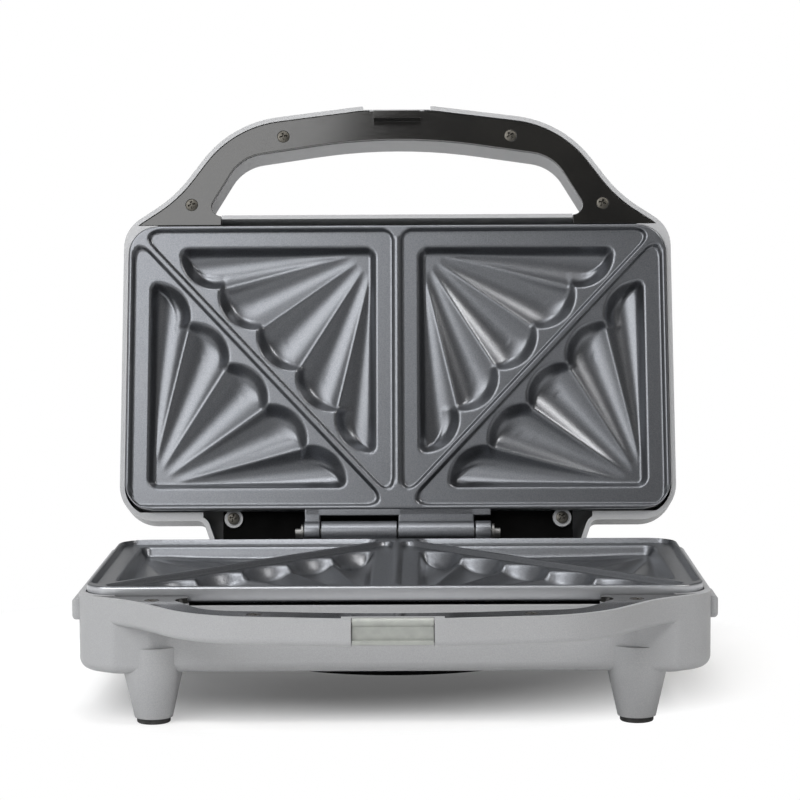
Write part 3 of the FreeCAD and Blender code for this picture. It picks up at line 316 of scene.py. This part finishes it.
def foot_rubber():
    """Matt rubber, dusty in patches."""
    def colour(v):
        return v.noise(3 * MM, 3.0).ramp(0.35, 0.7).mix(grey(0.018), grey(0.035, 0.03))

    def grain(v):
        return v.noise(0.7 * MM, 2.0).bump(0.04 * MM, 0.7)

    return finish("foot_rubber", base_color=colour, normal=grain, roughness=0.75)


def steel(name, tone, warmth, roughness_low):
    """Metal with a slightly stained surface and an uneven polish."""
    def colour(v):
        return v.noise(2.5 * MM, 3.0).ramp(0.3, 0.7).mix(grey(tone, warmth), grey(tone * 0.75, warmth))

    def roughness(v):
        return roughness_low + 0.15 * v.noise(0.8 * MM, 3.0)

    return finish(name, base_color=colour, roughness=roughness, metallic=1.0)


def insulator():
    """White moulding, slightly yellowed in patches."""
    def colour(v):
        return v.noise(5 * MM, 3.0).ramp(0.35, 0.7).mix(grey(0.78, 0.05), grey(0.7, 0.12))

    return finish("white_insulator", base_color=colour, roughness=0.45)


def lamp_lens(name, tint, deep):
    """Tinted lens with a clear coat, deeper in patches."""
    def colour(v):
        return v.noise(2 * MM, 2.0).ramp(0.3, 0.7).mix(tint, deep)

    return finish(name, base_color=colour, roughness=0.12, coat_weight=0.6, coat_roughness=0.05)


FINISHES = {
    "silver_shell": silver_paint(),
    "gloss_black": gloss_black(),
    "plate_coating": plate_coating(),
    "latch_grey": latch_plastic(),
    "black_plastic": black_plastic(),
    "foot_rubber": foot_rubber(),
    "screw_steel": steel("screw_steel", 0.08, 0.12, 0.34),
    "pin_steel": steel("pin_steel", 0.16, 0.02, 0.3),
    "sheet_steel": steel("sheet_steel", 0.2, 0.0, 0.3),
    "element_steel": steel("element_steel", 0.3, 0.12, 0.4),
    "reflector_sheet": steel("reflector_sheet", 0.75, 0.0, 0.2),
    "white_insulator": insulator(),
    "brass_screw": steel("brass_screw", 0.6, 0.5, 0.25),
    "red_lens": lamp_lens("red_lens", (0.5, 0.02, 0.015, 1), (0.35, 0.01, 0.01, 1)),
    "green_lens": lamp_lens("green_lens", (0.03, 0.4, 0.07, 1), (0.02, 0.28, 0.05, 1)),
}


def mesh_piece(name, points, faces, bare=None):
    """Object at the origin from points in metres and a list of faces; bare marks the uncoated points."""
    mesh = bpy.data.meshes.new(name)
    mesh.from_pydata(points.tolist(), [], faces)
    mesh.update()
    mesh.shade_smooth()
    if bare is not None:
        mesh.attributes.new("bare", "FLOAT", "POINT").data.foreach_set("value", bare.astype(np.float32))
    piece = bpy.data.objects.new(name, mesh)
    bpy.context.scene.collection.objects.link(piece)
    piece.modifiers.new("flats", "WEIGHTED_NORMAL").weight = FLAT_WEIGHT
    return piece


def smooth_min(a, b, k):
    """Smaller of two heights, with the crease between them rounded over a span k."""
    overlap = np.maximum(k - np.abs(a - b), 0) / k
    return np.minimum(a, b) - overlap ** 2 * k / 4


def smooth_max(a, b, k):
    """Larger of two heights, rounded in the same way."""
    return -smooth_min(-a, -b, k)


def round_min(a, b, radius):
    """Distance inside two edges whose corner is rounded by a radius."""
    u = np.maximum(radius - a, 0)
    v = np.maximum(radius - b, 0)
    return np.where((u > 0) | (v > 0), radius - np.hypot(u, v), np.minimum(a, b))


def pocket_height(p, q, leg_a, leg_b):
    """Height of a fluted pocket below its ledge; p and q run along its legs from the right angle.

    The flutes fan out from the right angle: share is the part of the way to the slanting side, and the
    place along that side says which flute a point is in and how far from its middle. A flute's section is
    a circle's arc that deepens with share, while the crests between the flutes rise and are rounded. The
    pocket's edge is made of the two legs and a row of arcs. From a leg the wall drops at a slope. From an
    arc it drops at a slope too, and then like a cup, along a quarter of an ellipse."""
    slant = math.hypot(leg_a, leg_b)
    height = leg_a * leg_b / slant
    share = p / leg_a + q / leg_b
    along = np.clip(q / leg_b / np.maximum(share, LEAST_SHARE), 0, 1) * FLUTES
    aside = 2 * (along - np.minimum(np.floor(along), FLUTES - 1)) - 1
    aside = 1 - np.hypot(1 - np.abs(aside), CREST_ROUND)
    low = math.sqrt(FLUTE_ROUND ** 2 - 1)
    arc = (np.sqrt(FLUTE_ROUND ** 2 - aside ** 2) - low) / (FLUTE_ROUND - low)
    swell = np.clip((share - FLUTE_START) / (1 - FLUTE_START), 0, FLUTE_OVERRUN)
    flutes = -FLOOR_DEPTH + swell * (CREST_RISE - FLUTE_SWELL * arc)
    pitch = slant / FLUTES
    plan_radius = ((pitch / 2) ** 2 + SCALLOP_BULGE ** 2) / (2 * SCALLOP_BULGE)
    back = (plan_radius - SCALLOP_BULGE) / slant
    end = (1 - share) * height
    for i in range(FLUTES):
        part = (i + 0.5) / FLUTES
        away = np.hypot(p - leg_a * (1 - part) + leg_b * back, q - leg_b * part + leg_a * back)
        end = np.maximum(end, plan_radius - away)
    wall = round_min(p, q, POCKET_CORNER)
    edge = round_min(wall, end, POCKET_TIP)
    turn = np.clip((wall - end) / POCKET_INSET + 0.5, 0, 1)
    cup = -CUP_DEPTH * np.sqrt(1 - (1 - np.clip(edge / CUP_REACH, 0, 1)) ** 2)
    cup = cup - CUP_DROP * np.maximum(edge - CUP_REACH, 0) ** 2
    cup = smooth_max(cup, -edge * CUP_SLOPE, CUP_ROUND)
    side = -edge * WALL_SLOPE * (1 - turn) + cup * turn
    return smooth_max(flutes, side, FLOOR_ROUND)


def plate_height(x, y):
    """Height of the cooking face: frame at zero, four ledges below it, a fluted pocket in each ledge."""
    leg_a = PLATE_WIDTH / 2 - FRAME_BORDER - DIVIDER / 2
    leg_b = PLATE_DEPTH - 2 * FRAME_BORDER
    slant = math.hypot(leg_a, leg_b)
    height = leg_a * leg_b / slant
    share = 1 - DIAGONAL / 2 / height
    pocket = (height * share - SCALLOP_INSET - POCKET_INSET * (leg_a + leg_b) / slant) / height
    front_p = np.abs(x) - DIVIDER / 2
    front_q = y + PLATE_DEPTH / 2 - FRAME_BORDER
    total = np.zeros(x.shape)
    for p, q in ((front_p, front_q), (leg_a - front_p, leg_b - front_q)):
        far = (share - p / leg_a - q / leg_b) * height
        inside = round_min(round_min(p, q, LEDGE_CORNER), far, LEDGE_ACUTE)
        t = np.clip(inside / FRAME_RAMP, 0, 1)
        ledge = -FRAME_RISE * t * t * (3 - 2 * t)
        dip = pocket_height(p - POCKET_INSET, q - POCKET_INSET, leg_a * pocket, leg_b * pocket)
        total += ledge + np.where(inside > 0, smooth_min(np.zeros(x.shape), dip, RIDGE_ROUND), 0)
    return total


def grid_faces(rows, columns, first=0, flip=False):
    """Quads of a grid of points stored row by row."""
    index = first + np.arange(rows * columns).reshape(rows, columns)
    quads = np.stack([index[:-1, :-1], index[:-1, 1:], index[1:, 1:], index[1:, :-1]], -1).reshape(-1, 4)
    return (quads[:, ::-1] if flip else quads).tolist()


def slanted_faces(rows, columns):
    """Triangles of a grid, each square split along the way the plate's diagonal ridges run."""
    index = np.arange(rows * columns).reshape(rows, columns)
    a, b, c, d = index[:-1, :-1], index[:-1, 1:], index[1:, 1:], index[1:, :-1]
    right = np.stack([a, b, d, b, c, d], -1)
    left = np.stack([a, b, c, a, c, d], -1)
    middle = np.arange(columns - 1)[None, :, None] >= columns // 2
    return np.where(middle, right, left).reshape(-1, 3).tolist()


def ring_faces(lower, upper):
    """Quads between two closed rings of point numbers."""
    return np.stack([lower, np.roll(lower, -1), np.roll(upper, -1), upper], -1).tolist()


def rim_of(rows, columns):
    """Numbers of a grid's edge points, once round counter-clockwise."""
    index = np.arange(rows * columns).reshape(rows, columns)
    return np.concatenate([index[0, :-1], index[:-1, -1], index[-1, :0:-1], index[:0:-1, 0]])


def plate_plan():
    """Plan of the plate as a grid whose squares meet the diagonals, drawn in at the rounded corners."""
    steps = np.arange(CELL_STEPS + 1) / CELL_STEPS
    side = PLATE_WIDTH / 2 - PLATE_EDGE
    half = PLATE_DEPTH / 2 - PLATE_EDGE
    across = np.append(DIVIDER / 2 + steps * (PLATE_WIDTH / 2 - FRAME_BORDER - DIVIDER / 2), side)
    x = np.concatenate([-across[::-1], [0.0], across])[None, :]
    y = np.concatenate([[-half], (2 * steps - 1) * (PLATE_DEPTH / 2 - FRAME_BORDER), [half]])[:, None]
    radius = PLATE_CORNER - PLATE_EDGE
    past = np.maximum(np.abs(y) - (half - radius), 0)
    drawn = radius - np.sqrt(np.maximum(radius ** 2 - past ** 2, 0))
    zone = np.maximum(np.abs(x) - (side - CORNER_ZONE), 0) / CORNER_ZONE
    x = x - np.sign(x) * zone * drawn
    return x, np.broadcast_to(y, x.shape)


def plate_shell():
    """Closed casting: cooking face on the plan's grid, rings of points round it for the rounded edge and
    the upright side, and an underside on every second grid line, a wall below the pockets."""
    x, y = plate_plan()
    rows, columns = x.shape
    top = np.stack([x, y, plate_height(x, y)], -1).reshape(-1, 3)
    rim = rim_of(rows, columns)
    edge = top[rim]
    outward = edge[:, :2] - np.roll(edge[:, :2], 1, 0)
    outward = outward + np.roll(outward, -1, 0)
    outward = np.stack([outward[:, 1], -outward[:, 0]], -1)
    outward /= np.linalg.norm(outward, axis=1)[:, None]
    rings = [rim]
    points = [top]
    count = len(top)
    faces = slanted_faces(rows, columns)
    turns = [(math.sin(t), math.cos(t) - 1) for t in np.radians([22.5, 45, 67.5, 90])]
    levels = [(PLATE_EDGE * out, PLATE_EDGE * down) for out, down in turns]
    levels += [(PLATE_EDGE, PLATE_EDGE - PLATE_SIDE), (PLATE_EDGE / 2, -PLATE_SIDE)]
    for out, down in levels:
        ring = np.concatenate([edge[:, :2] + outward * out, np.full((len(edge), 1), down)], 1)
        points.append(ring)
        rings.append(count + np.arange(len(ring)))
        faces += ring_faces(rings[-1], rings[-2])
        count += len(ring)
    xu, yu = x[::2, ::2], y[::2, ::2]
    under = np.minimum(plate_height(xu, yu) - POCKET_METAL, -PLATE_SIDE)
    points.append(np.stack([xu, yu, under], -1).reshape(-1, 3))
    faces += grid_faces(xu.shape[0], xu.shape[1], count, True)
    coarse = count + rim_of(xu.shape[0], xu.shape[1])
    fine = rings[-1]
    following = np.roll(coarse, -1)
    faces += np.stack([coarse, fine[1::2], fine[::2]], -1).tolist()
    faces += np.stack([coarse, following, fine[1::2]], -1).tolist()
    faces += np.stack([following, np.roll(fine, -2)[::2], fine[1::2]], -1).tolist()
    return np.concatenate(points), faces


def barrel(x0, x1):
    """Bored hinge barrel: a closed profile of lengths and radii turned round the X axis."""
    shoulder = BARREL_RADIUS - BARREL_CHAMFER
    profile = np.array([
        (x0, BARREL_BORE), (x0, shoulder), (x0 + BARREL_CHAMFER, BARREL_RADIUS),
        (x1 - BARREL_CHAMFER, BARREL_RADIUS), (x1, shoulder), (x1, BARREL_BORE)])
    angles = np.linspace(0, 2 * math.pi, BARREL_FACETS, endpoint=False)
    y = profile[:, 1][:, None] * np.cos(angles)
    z = profile[:, 1][:, None] * np.sin(angles)
    x = np.broadcast_to(profile[:, 0][:, None], y.shape)
    rings = np.arange(x.size).reshape(x.shape)
    faces = []
    for i in range(len(profile)):
        faces += ring_faces(rings[i], rings[(i + 1) % len(profile)])
    return np.stack([x, y, z], -1).reshape(-1, 3), faces


def rounded_bar(x0, x1, y0, y1, z0, z1, radius):
    """Bar along X with its long edges and ends rounded: a section with arcs as corners, drawn in at the
    ends along a quarter circle."""
    turn = np.radians(np.arange(0, 91, 30))
    corners = [(y1, z1, 0), (y0, z1, 90), (y0, z0, 180), (y1, z0, 270)]
    section = []
    for y, z, start in corners:
        angle = turn + math.radians(start)
        away = np.array([math.copysign(1, y - (y0 + y1) / 2), math.copysign(1, z - (z0 + z1) / 2)])
        section.append(np.stack([np.cos(angle), np.sin(angle)], -1) + (np.array([y, z]) / radius - away))
    section = np.concatenate(section) * radius
    middle = np.array([(y0 + y1) / 2, (z0 + z1) / 2])
    half = np.array([(y1 - y0) / 2, (z1 - z0) / 2])
    stations = []
    for angle in np.radians([0, 30, 60, 90]):
        stations.append((radius * (1 - math.sin(angle)), radius * (1 - math.cos(angle))))
    rings = []
    for end, out, order in ((x0, 1, stations[::-1]), (x1, -1, stations)):
        for along, draw in order:
            shrink = (half - draw) / half
            rings.append((end + out * along, middle + (section - middle) * shrink))
    rings.sort(key=lambda ring: ring[0])
    count = len(section)
    points = np.concatenate([np.column_stack([np.full(count, x), ring]) for x, ring in rings])
    index = np.arange(len(points)).reshape(-1, count)
    faces = [index[0, ::-1].tolist(), index[-1].tolist()]
    for lower, upper in zip(index[:-1], index[1:]):
        faces += ring_faces(lower, upper)
    return points, faces


def combined(shapes):
    """Several closed shapes as one list of points and faces."""
    points = []
    faces = []
    count = 0
    for shape_points, shape_faces in shapes:
        points.append(shape_points)
        faces += [[count + corner for corner in face] for face in shape_faces]
        count += len(shape_points)
    return np.concatenate(points), faces


def casting():
    """Plate and hinge barrels round the hinge axis, cooking face upwards, in millimetres, and a mark on the
    points of the plate's uncoated side."""
    shell_points, shell_faces = plate_shell()
    half = np.array([PLATE_WIDTH, PLATE_DEPTH]) / 2
    outside = np.maximum(np.abs(shell_points[:, :2]) - (half - PLATE_CORNER), 0)
    from_edge = PLATE_CORNER - np.hypot(*outside.T)
    bare = (from_edge < PLATE_EDGE / 4) & (shell_points[:, 2] < -PLATE_EDGE / 4)
    shell_points = shell_points + np.array([0, -HINGE_SETBACK - PLATE_DEPTH / 2, -PLATE_HALF_GAP])
    start = BARREL_LENGTH + SIDE_GAP
    reach = start + LUG_LENGTH
    root = -HINGE_SETBACK - WEB_SINK
    level = -PLATE_HALF_GAP - SIDE_GAP
    lip = rounded_bar(-reach, reach, root, LIP_REACH - HINGE_SETBACK, -PLATE_HALF_GAP - LIP_DEPTH, level,
                      LIP_ROUND)
    shapes = [(shell_points, shell_faces), lip]
    for x0, x1 in ((-BARREL_LENGTH, -SIDE_GAP / 2), (start, reach)):
        shapes.append(barrel(x0, x1))
        web = rounded_bar(x0, x1, root, -BARREL_BORE - WEB_WALL, -BARREL_RADIUS, level, WEB_ROUND)
        shapes.append(web)
    points, faces = combined(shapes)
    return points, faces, np.append(bare, np.zeros(len(points) - len(bare), bool))


def opened(points):
    """Points of a lid piece drawn cooking face upwards, turned over and swung open about the hinge axis."""
    turned = points * np.array([-1, 1, -1])
    c, s = math.cos(LID_OPEN), math.sin(LID_OPEN)
    return np.stack([turned[:, 0], turned[:, 1] * c + turned[:, 2] * s,
                     turned[:, 2] * c - turned[:, 1] * s], -1)


def dress(piece, slot, body, *nodes):
    """Gives a piece its finish and the body it rides on, and hides the frame nodes it stands for."""
    piece.data.materials.clear()
    piece.data.materials.append(FINISHES[slot])
    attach(piece, body)
    if nodes:
        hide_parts(*nodes)
    return piece


def make_plates():
    """Both cooking plates from one casting."""
    points, faces, bare = casting()
    lower = mesh_piece("lower_cooking_plate", points * MM + HINGE, faces, bare)
    dress(lower, "plate_coating", "base", "lower_plate")
    upper = mesh_piece("upper_cooking_plate", opened(points) * MM + HINGE, faces, bare)
    dress(upper, "plate_coating", "lid", "upper_plate")


def softened(node, name, slot, body, width):
    """Copy of a frame node with its triangles merged to faces and its sharp edges rounded by a width."""
    mesh = NODES[node].data.copy()
    mesh.name = name
    work = bmesh.new()
    work.from_mesh(mesh)
    bmesh.ops.remove_doubles(work, verts=work.verts, dist=MERGE_DISTANCE * MM)
    flat = math.radians(FLAT_ANGLE)
    bmesh.ops.dissolve_limit(work, angle_limit=flat, verts=work.verts, edges=work.edges)
    work.to_mesh(mesh)
    work.free()
    mesh.shade_smooth()
    piece = bpy.data.objects.new(name, mesh)
    bpy.context.scene.collection.objects.link(piece)
    bevel = piece.modifiers.new("edges", "BEVEL")
    bevel.width = width * MM
    bevel.segments = ROUND_STEPS
    bevel.limit_method = "ANGLE"
    bevel.angle_limit = math.radians(SHARP_ANGLE)
    bevel.use_clamp_overlap = True
    piece.modifiers.new("flats", "WEIGHTED_NORMAL").weight = FLAT_WEIGHT
    return dress(piece, slot, body, node)


def screw_head(turn):
    """Low dome with a cross recess, sunk at its edge: rings of points round the Z axis, closed below.

    The dome falls with the square of the radius, and the recess is where either of two crossed slots is."""
    r = np.concatenate([np.linspace(0, SCREW_RADIUS, SCREW_RINGS), [SCREW_RADIUS, 0]])[:, None]
    angle = np.linspace(0, 2 * math.pi, SCREW_SPOKES, endpoint=False)[None, :]
    u = np.abs(r * np.cos(angle + turn))
    v = np.abs(r * np.sin(angle + turn))
    arm = SCREW_ARM * SCREW_RADIUS
    half = SCREW_SLOT / 2
    cross = np.minimum(np.maximum(u - half, v - arm), np.maximum(v - half, u - arm))
    dome = SCREW_DOME * (1 - 2 * (r / SCREW_RADIUS) ** 2)
    z = dome - SCREW_DEPTH * np.clip(0.5 - cross / SCREW_EDGE, 0, 1)
    z[-2:] = -SCREW_SINK
    points = np.stack([r * np.cos(angle), r * np.sin(angle), z], -1)
    index = np.arange(z.size).reshape(z.shape)
    faces = []
    for inner, outer in zip(index[:-1], index[1:]):
        faces += ring_faces(inner, outer)
    return points.reshape(-1, 3), [face[::-1] for face in faces]


def screw_heads(places, level, turns):
    """Screw heads at places in X and Y, their edges at a level, each with its cross turned by an angle."""
    shapes = []
    for (x, y), turn in zip(places, np.radians(turns)):
        points, faces = screw_head(turn)
        shapes.append((points + np.array([x, y, level]), faces))
    return combined(shapes)


def make_screws():
    """Heads of the screws in both handle covers and in the hood."""
    places = [(x, -HINGE_SETBACK - PLATE_DEPTH - reach) for x, reach in COVER_SCREWS]
    points, faces = screw_heads(places, COVER_LEVEL, COVER_SCREW_TURNS)
    lower = mesh_piece("base_cover_screws", points * MM + HINGE, faces)
    dress(lower, "screw_steel", "base", "base_handle_screws")
    upper = mesh_piece("lid_cover_screws", opened(points) * MM + HINGE, faces)
    dress(upper, "screw_steel", "lid", "lid_handle_screws")
    places = [(-HOOD_SCREW_X, -HOOD_SETBACK), (HOOD_SCREW_X, -HOOD_SETBACK)]
    points, faces = screw_heads(places, HOOD_LEVEL, HOOD_SCREW_TURNS)
    hood = mesh_piece("hood_screw_heads", opened(points) * MM + HINGE, faces)
    dress(hood, "screw_steel", "lid", "hood_screws")


def finish_nodes():
    """Every frame node gets its slot's finish."""
    slots = {part["node"]: part["material_slot"] for part in frame["record"]["subparts"]}
    for name, node in NODES.items():
        for place in range(len(node.material_slots)):
            node.material_slots[place].material = FINISHES[slots[name]]
        if not node.material_slots:
            node.data.materials.append(FINISHES[slots[name]])


def photo_camera():
    """Camera from yaw, pitch and roll, with a lens given by the focal length in photo pixels."""
    yaw, pitch, roll = (math.radians(a) for a in (CAMERA_YAW, CAMERA_PITCH, CAMERA_ROLL))
    ahead = Vector((math.sin(yaw) * math.cos(pitch), math.cos(yaw) * math.cos(pitch), -math.sin(pitch)))
    right = Vector((math.cos(yaw), -math.sin(yaw), 0))
    up = right.cross(ahead)
    tilted_right = math.cos(roll) * right + math.sin(roll) * up
    tilted_up = math.cos(roll) * up - math.sin(roll) * right
    data = bpy.data.cameras.new("photo_camera")
    data.sensor_width = SENSOR
    data.lens = SENSOR * CAMERA_FOCAL_PIXELS / PHOTO_WIDTH
    camera = bpy.data.objects.new("photo_camera", data)
    turn = Matrix((tilted_right, tilted_up, -ahead)).transposed().to_4x4()
    camera.matrix_world = Matrix.Translation(Vector(CAMERA_PLACE) + Vector(HINGE)) @ turn
    bpy.context.scene.collection.objects.link(camera)
    bpy.context.scene.camera = camera


def softbox(name, place, target, size, power, colour=(1.0, 1.0, 1.0)):
    """Rectangular lamp at a place, facing a target, its size in metres and its power in watts."""
    data = bpy.data.lights.new(name, "AREA")
    data.shape = "RECTANGLE"
    data.size, data.size_y = size
    data.energy = power
    data.color = colour
    lamp = bpy.data.objects.new(name, data)
    aim = (Vector(target) - Vector(place)).to_track_quat("-Z", "Y")
    lamp.matrix_world = Matrix.Translation(place) @ aim.to_matrix().to_4x4()
    lamp.visible_camera = False
    bpy.context.scene.collection.objects.link(lamp)


def light_scene():
    """Softboxes: a large one on the left that the handle cover mirrors, a small one on the right for the
    flute ends, one above and a small one over the lower plate; and a surround darker to the right."""
    softbox("left_softbox", (-0.733, -1.031, 1.05), (-0.113, 0.169, 0.25), (1.4, 1.0), 21)
    softbox("right_softbox", (0.75, -0.5, 1.25), (0, 0.1, 0.2), (0.4, 0.32), 6.5, (1.0, 0.97, 0.93))
    softbox("top_softbox", (-0.25, 0.1, 1.7), (0, 0, 0.1), (1.4, 1.2), 9.5)
    softbox("overhead_softbox", (-0.1, -0.35, 1.3), (0, -0.08, 0.06), (0.4, 0.3), 3.5)
    world = bpy.data.worlds.new("studio")
    bpy.context.scene.world = world
    world.use_nodes = True
    tree = world.node_tree
    start = Value(tree)
    direction = start.node("ShaderNodeTexCoord", output="Generated")
    parts = start.node("ShaderNodeSeparateXYZ", None, {"Vector": direction})
    across, depth, up = (Value(tree, parts.socket.node.outputs[axis]) for axis in "XYZ")
    front = across.ramp(-0.5, 0.2).mix(*map(grey, SURROUND_FRONT))
    low = across.ramp(-0.5, 0.4).mix(*map(grey, SURROUND_LOW))
    ahead = up.ramp(0.1, 0.35).mix(low, front)
    rear = across.ramp(-0.5, 0.6).mix(*map(grey, SURROUND_REAR))
    surround = depth.ramp(-0.3, 0.3).mix(ahead, rear)
    to_camera = start.node("ShaderNodeLightPath", output="Is Camera Ray")
    colour = to_camera.mix(surround, grey(1.0))
    tree.links.new(colour.socket, tree.nodes["Background"].inputs["Color"])
    tree.nodes["Background"].inputs["Strength"].default_value = 1.0


def make_floor():
    """Pale floor: the camera sees shadow near the toaster and plain white further off; clear from below."""
    edge = np.linspace(-FLOOR_HALF, FLOOR_HALF, 3)
    x, y = np.meshgrid(edge, edge)
    floor = mesh_piece("floor", np.stack([x, y, np.zeros(x.shape)], -1).reshape(-1, 3), grid_faces(3, 3))
    made = bpy.data.materials.new("floor")
    made.use_nodes = True
    tree = made.node_tree
    start = Value(tree)
    shader = tree.nodes["Principled BSDF"]
    shader.inputs["Base Color"].default_value = grey(0.8)
    shader.inputs["Roughness"].default_value = 0.9
    reach_x, reach_y = SHADOW_REACH
    centred = start.node("ShaderNodeMapping", None, {
        "Vector": start.place(), "Location": (*SHADOW_SHIFT, 0), "Scale": (1 / reach_x, 1 / reach_y, 1.0)})
    distance = start.node("ShaderNodeVectorMath", {"operation": "LENGTH"}, {0: centred}, "Value")
    away = distance.ramp(*SHADOW_FADE)
    to_camera = start.node("ShaderNodeLightPath", output="Is Camera Ray")
    white = start.node("ShaderNodeEmission", None, {"Color": grey(1.0), "Strength": 1.0})
    glow = start.node("ShaderNodeEmission", None,
                      {"Color": to_camera.mix(grey(0.0), grey(SHADOW_LIFT)), "Strength": 1.0})
    lit = start.node("ShaderNodeAddShader", None, {0: Value(tree, shader.outputs[0]), 1: glow})
    faded = start.node("ShaderNodeMixShader", None, {0: away * away * to_camera, 1: lit, 2: white})
    clear = start.node("ShaderNodeBsdfTransparent")
    behind = start.node("ShaderNodeNewGeometry", output="Backfacing")
    both = start.node("ShaderNodeMixShader", None, {0: behind, 1: faded, 2: clear})
    tree.links.new(both.socket, tree.nodes["Material Output"].inputs["Surface"])
    floor.data.materials.append(made)


bpy.context.scene.view_settings.view_transform = "Standard"
finish_nodes()
make_plates()
softened("lid_shell", "lid_body", "silver_shell", "lid", SHELL_ROUND)
softened("base_housing", "base_body", "silver_shell", "base", SHELL_ROUND)
softened("lid_handle_cover", "lid_cover", "gloss_black", "lid", COVER_ROUND)
softened("base_handle_cover", "base_cover", "gloss_black", "base", COVER_ROUND)
make_screws()
photo_camera()
light_scene()
make_floor()
